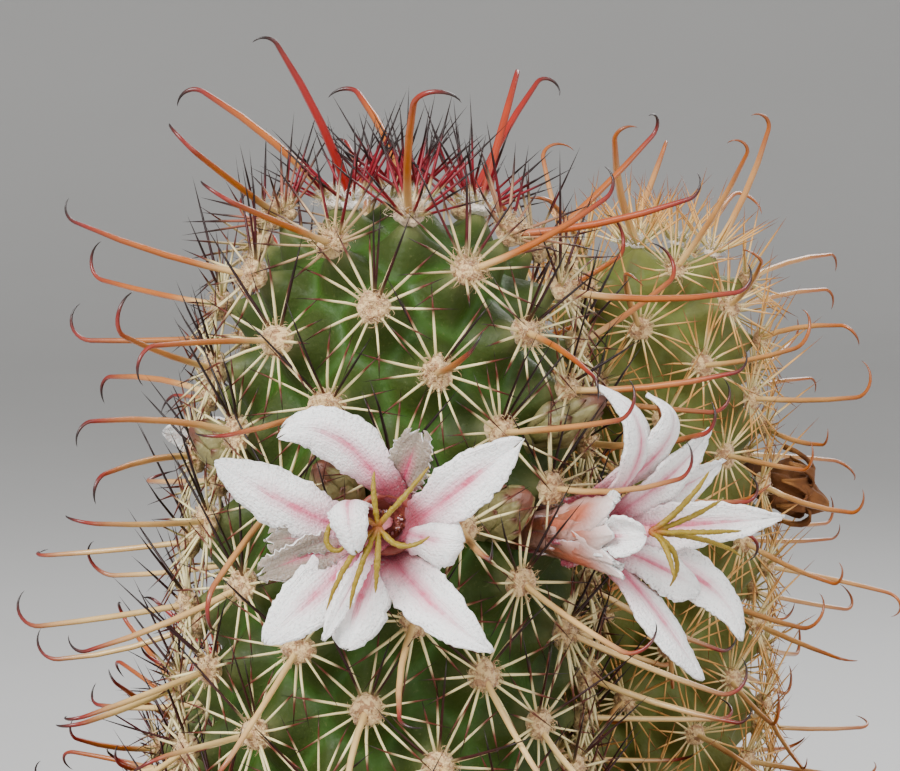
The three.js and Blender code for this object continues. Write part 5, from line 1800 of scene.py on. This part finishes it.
def make_bud(name, scale_skin):
    """A closed bud: a pointed core under overlapping scales."""
    full, radius = BUD_SIZES[name]
    profile = [(0, -1.5), (0.5 * radius, -1.5)]
    profile += [(bud_body(share) * radius * 0.94, share * full) for share in np.linspace(0, 1, 15)]
    profile[-1] = (0, full)
    shape = bmesh.new()
    layer = shape.loops.layers.uv.new("blade")
    spin_profile(shape, profile, BUD_STEPS)
    for face in shape.faces:
        for loop in face.loops:
            loop[layer].uv = (0.5, 0.5 + 0.5 * max(0, loop.vert.co.z / full))
    for number in range(BUD_SCALE_COUNT):
        turn = math.radians(number * GOLDEN_ANGLE)
        start = 0.02 + 0.5 * number / BUD_SCALE_COUNT
        stop = min(1.03, start + 0.5)
        lifted = 0.16 + 0.02 * (BUD_SCALE_COUNT - number)
        grid = bmesh.ops.create_grid(shape, x_segments=6, y_segments=8, size=1, calc_uvs=True)
        for corner in grid["verts"]:
            across, along = corner.co.x, (corner.co.y + 1) / 2
            share = start + (stop - start) * along
            half = 0.62 * math.sqrt(max(0.0, 1 - along ** 2.4)) * (0.75 + 0.25 * along)
            swing = turn + across * half
            off = radius * bud_body(share) + lifted * (0.4 + 0.6 * along) - 0.22 * across ** 2
            corner.co = Vector((math.cos(swing) * off, math.sin(swing) * off, share * full))
        thicken_grid(shape, grid["verts"], BUD_SCALE_THICKNESS)
    bmesh.ops.transform(shape, matrix=growth_matrix(name), verts=shape.verts)
    finish_piece(f"{name}_shape", to_mesh(name, shape), [scale_skin], "bud", name)


def withered_sag(height):
    """How far the withered flower has drooped at a height along it."""
    return -0.018 * height ** 2


def make_withered(dry_skin):
    """The spent flower: a wrung, drooping roll with ragged dry ends."""
    shares = np.linspace(0, 1, WITHERED_RINGS)
    heights = shares * WITHERED_LENGTH
    line = np.stack((0.4 * np.sin(shares * 7), withered_sag(heights), heights - 1.2), axis=1)
    widths = np.interp(shares, WITHERED_SHARES, WITHERED_RADII)
    template = bar_template(WITHERED_RINGS, 28)
    mesh = bars_along("withered", template, line[None], widths[None], np.array([[1.0, 0, 0]]))
    places = coordinates(mesh)
    ring = np.rint(template.places[:, 2]).astype(int)
    turn = np.arctan2(template.places[:, 1], template.places[:, 0])
    wide_folds = np.cos(turn * 6 + shares[ring] * 5) * 0.22
    narrow_folds = np.cos(turn * 11 - shares[ring] * 8) * 0.12
    rough = 1 + wide_folds + narrow_folds + 0.3 * soft_noise(places, 1.0, 91)
    set_coordinates(mesh, line[ring] + (places - line[ring]) * rough[:, None])
    shape = bmesh.new()
    shape.from_mesh(mesh)
    layer = shape.loops.layers.uv.new("blade")
    for face in shape.faces:
        for loop in face.loops:
            loop[layer].uv = (0.5, loop.vert.co.z / WITHERED_LENGTH)
    for number in range(DRY_PETAL_COUNT):
        add_dry_petal(shape, number)
    bmesh.ops.transform(shape, matrix=growth_matrix("withered_bloom"), verts=shape.verts)
    mesh = to_mesh("withered", shape)
    finish_piece("withered_bloom_shape", mesh, [dry_skin], "withered", "withered_bloom")


def add_dry_petal(shape, number):
    """A shrivelled petal that leaves the roll near its end."""
    blade = 4.2 + scatter(number, "dry petal length")
    flare = 34 + 16 * scatter(number, "dry petal flare")
    grid = bmesh.ops.create_grid(shape, x_segments=5, y_segments=10, size=1, calc_uvs=True)
    for corner in grid["verts"]:
        across, along = corner.co.x, (corner.co.y + 1) / 2
        heading = math.radians(flare * along + 70 * along ** 2)
        radius = 1.0 + blade * along * math.sin(heading) * 0.55
        height = 6.8 + blade * along * math.cos(heading)
        turn = math.radians(number * GOLDEN_ANGLE + 30 * along)
        half = math.sin(math.pi * min(1, 0.18 + 0.8 * along)) + 0.1
        spot = np.array([[across * 1.5, along * 4, number * 2.0]])
        radius += 0.5 * across ** 2 + 0.3 * soft_noise(spot, 0.7, 92)[0]
        out = Vector((math.cos(turn), math.sin(turn), 0))
        side = Vector((-math.sin(turn), math.cos(turn), 0))
        drooped = Vector((0, withered_sag(height), height))
        corner.co = out * radius + side * across * half + drooped
    thicken_grid(shape, grid["verts"], DRY_PETAL_THICKNESS)


# Stage

def make_sweep(skin):
    """Floor and backdrop in one sweep."""
    back, bend = STAGE_BACK, STAGE_BEND
    profile = [(-STAGE_FRONT, 0.0), (back, 0.0)]
    for angle in np.radians(np.linspace(6, 90, 15)):
        profile.append((back + bend * math.sin(angle), bend - bend * math.cos(angle)))
    profile.append((back + bend, STAGE_TOP))
    shape = bmesh.new()
    corners = [shape.verts.new((-STAGE_WIDTH / 2, y, z)) for y, z in profile]
    edges = [shape.edges.new(pair) for pair in zip(corners, corners[1:])]
    sweep = bmesh.ops.extrude_edge_only(shape, edges=edges)
    moved = [item for item in sweep["geom"] if isinstance(item, bmesh.types.BMVert)]
    bmesh.ops.translate(shape, verts=moved, vec=(STAGE_WIDTH, 0, 0))
    mesh = to_mesh("stage", shape)
    mesh.shade_smooth()
    mesh.materials.append(skin)
    floor = bpy.data.objects.new("stage_sweep", mesh)
    bpy.context.scene.collection.objects.link(floor)
    floor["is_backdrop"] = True


def make_stage():
    """The sweep, soft lights and the camera at the photograph's view."""
    given = bpy.context.scene.cactus_stage
    make_sweep(stage_material())
    for name, power, place, size in LIGHTS:
        light = bpy.data.lights.new(name, "AREA")
        light.energy = getattr(given, power)
        light.size = size
        lamp = bpy.data.objects.new(name, light)
        lamp.location = place
        lamp.rotation_euler = (LIGHT_AIM - Vector(place)).to_track_quat("-Z", "Y").to_euler()
        bpy.context.scene.collection.objects.link(lamp)
    world = bpy.data.worlds.new("studio")
    world.use_nodes = True
    background = world.node_tree.nodes["Background"]
    background.inputs["Color"].default_value = SKY_COLOUR
    background.inputs["Strength"].default_value = given.sky
    bpy.context.scene.world = world
    if not given.keep_camera:
        place_camera()


def place_camera():
    """The camera at the photograph's view."""
    lens = bpy.data.cameras.new("camera")
    lens.lens = VIEW_LENS
    lens.clip_start = 0.01
    camera = bpy.data.objects.new("camera", lens)
    back = Vector((0, -math.cos(VIEW_DROP), math.sin(VIEW_DROP)))
    camera.location = (VIEW_CENTRE + back * VIEW_DISTANCE) * MM
    camera.rotation_euler = (-back).to_track_quat("-Z", "Y").to_euler()
    bpy.context.scene.collection.objects.link(camera)
    bpy.context.scene.camera = camera


# Operators

class CACTUS_OT_stage(bpy.types.Operator):
    """Add the pale floor, the soft lights and the camera"""
    bl_idname = "cactus.stage"
    bl_label = "Set the Stage"

    def execute(self, context):
        make_stage()
        return {"FINISHED"}


class CACTUS_OT_pot(bpy.types.Operator):
    """Turn the clay pot"""
    bl_idname = "cactus.pot"
    bl_label = "Turn the Pot"

    def execute(self, context):
        make_pot()
        return {"FINISHED"}


class CACTUS_OT_soil(bpy.types.Operator):
    """Fill the pot with soil and loose grit"""
    bl_idname = "cactus.soil"
    bl_label = "Fill with Soil"

    def execute(self, context):
        make_soil()
        return {"FINISHED"}


class CACTUS_OT_flowers(bpy.types.Operator):
    """Open the three flowers with their stamens and pistils"""
    bl_idname = "cactus.flowers"
    bl_label = "Open the Flowers"

    def execute(self, context):
        given = context.scene.cactus_flowers
        throat_skin = plain_living_material(
            "throat", given.throat, blend(given.throat, given.rose, 0.4), 900, 0.5, 0.08)
        skins = [petal_material(False), petal_material(True), tube_scale_material(), throat_skin]
        lobe_skin = lobe_material()
        filament_skin = plain_living_material(
            "filament", given.style, given.white, 900, 0.4, 0.03)
        anther_skin = plain_living_material(
            "anther", given.anther, given.anther_shade, 1800, 0.8, 0.1)
        for name in BLOOM_PETALS:
            make_bloom(name, skins)
            make_stamens(name.removeprefix("bloom_"), filament_skin, anther_skin)
            make_pistil(name.removeprefix("bloom_"), lobe_skin)
        return {"FINISHED"}


class CACTUS_OT_buds(bpy.types.Operator):
    """Set the closed buds and the withered flower"""
    bl_idname = "cactus.buds"
    bl_label = "Set the Buds"

    def execute(self, context):
        given = context.scene.cactus_flowers
        scale_skin = scale_material(
            "bud scale", given.bud, given.bud_middle, given.bud_tip, 0.5)
        for name in BUD_SIZES:
            make_bud(name, scale_skin)
        make_withered(scale_material(
            "dry petal", given.withered, given.withered_middle, given.withered_tip, 0.85))
        return {"FINISHED"}


class CACTUS_OT_skins(bpy.types.Operator):
    """Grow the tubercled skins of the stems"""
    bl_idname = "cactus.skins"
    bl_label = "Grow the Skins"

    def execute(self, context):
        material = skin_material()
        for name in STEMS:
            make_skin(name, material)
        return {"FINISHED"}


class CACTUS_OT_spines(bpy.types.Operator):
    """Grow the hooked and radial spines"""
    bl_idname = "cactus.spines"
    bl_label = "Grow the Spines"

    def execute(self, context):
        tree = blossom_tree()
        hook_skin, radial_skin = hook_material(), radial_material()
        for name in STEMS:
            make_hooks(name, hook_skin, tree)
            make_radials(name, radial_skin, tree)
        return {"FINISHED"}


class CACTUS_OT_wool(bpy.types.Operator):
    """Felt the areoles"""
    bl_idname = "cactus.wool"
    bl_label = "Felt the Areoles"

    def execute(self, context):
        material = wool_material()
        for name in STEMS:
            make_wool(name, material)
        return {"FINISHED"}


SETTINGS = {
    "cactus_skin": SkinSettings, "cactus_spines": SpineSettings, "cactus_wool": WoolSettings,
    "cactus_flowers": FlowerSettings, "cactus_pot": PotSettings, "cactus_stage": StageSettings,
}
OPERATORS = (
    CACTUS_OT_stage, CACTUS_OT_pot, CACTUS_OT_soil, CACTUS_OT_flowers, CACTUS_OT_buds,
    CACTUS_OT_skins, CACTUS_OT_spines, CACTUS_OT_wool,
)


class CACTUS_PT_panel(bpy.types.Panel):
    """Lists the steps of the plant and their settings"""
    bl_label = "Potted Cactus"
    bl_idname = "CACTUS_PT_panel"
    bl_space_type = "VIEW_3D"
    bl_region_type = "UI"
    bl_category = "Cactus"

    def draw(self, context):
        for operator in OPERATORS:
            self.layout.operator(operator.bl_idname)
        for pointer, group in SETTINGS.items():
            box = self.layout.box()
            for name in group.__annotations__:
                box.prop(getattr(context.scene, pointer), name)


def register():
    for group in (*SETTINGS.values(), *OPERATORS, CACTUS_PT_panel):
        bpy.utils.register_class(group)
    for pointer, group in SETTINGS.items():
        setattr(bpy.types.Scene, pointer, PointerProperty(type=group))


def unregister():
    for pointer in SETTINGS:
        delattr(bpy.types.Scene, pointer)
    for group in (CACTUS_PT_panel, *OPERATORS, *SETTINGS.values()):
        bpy.utils.unregister_class(group)


def main():
    register()
    bpy.ops.cactus.stage()
    bpy.ops.cactus.pot()
    bpy.ops.cactus.soil()
    bpy.ops.cactus.flowers()
    bpy.ops.cactus.buds()
    bpy.ops.cactus.skins()
    bpy.ops.cactus.spines()
    bpy.ops.cactus.wool()
    boxes = {"cad_box": CAD_BOX, "visual_box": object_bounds()}
    lists = {
        name: [[float(value) for value in corner] for corner in box]
        for name, box in boxes.items()}


if __name__ == "__main__":
    main()
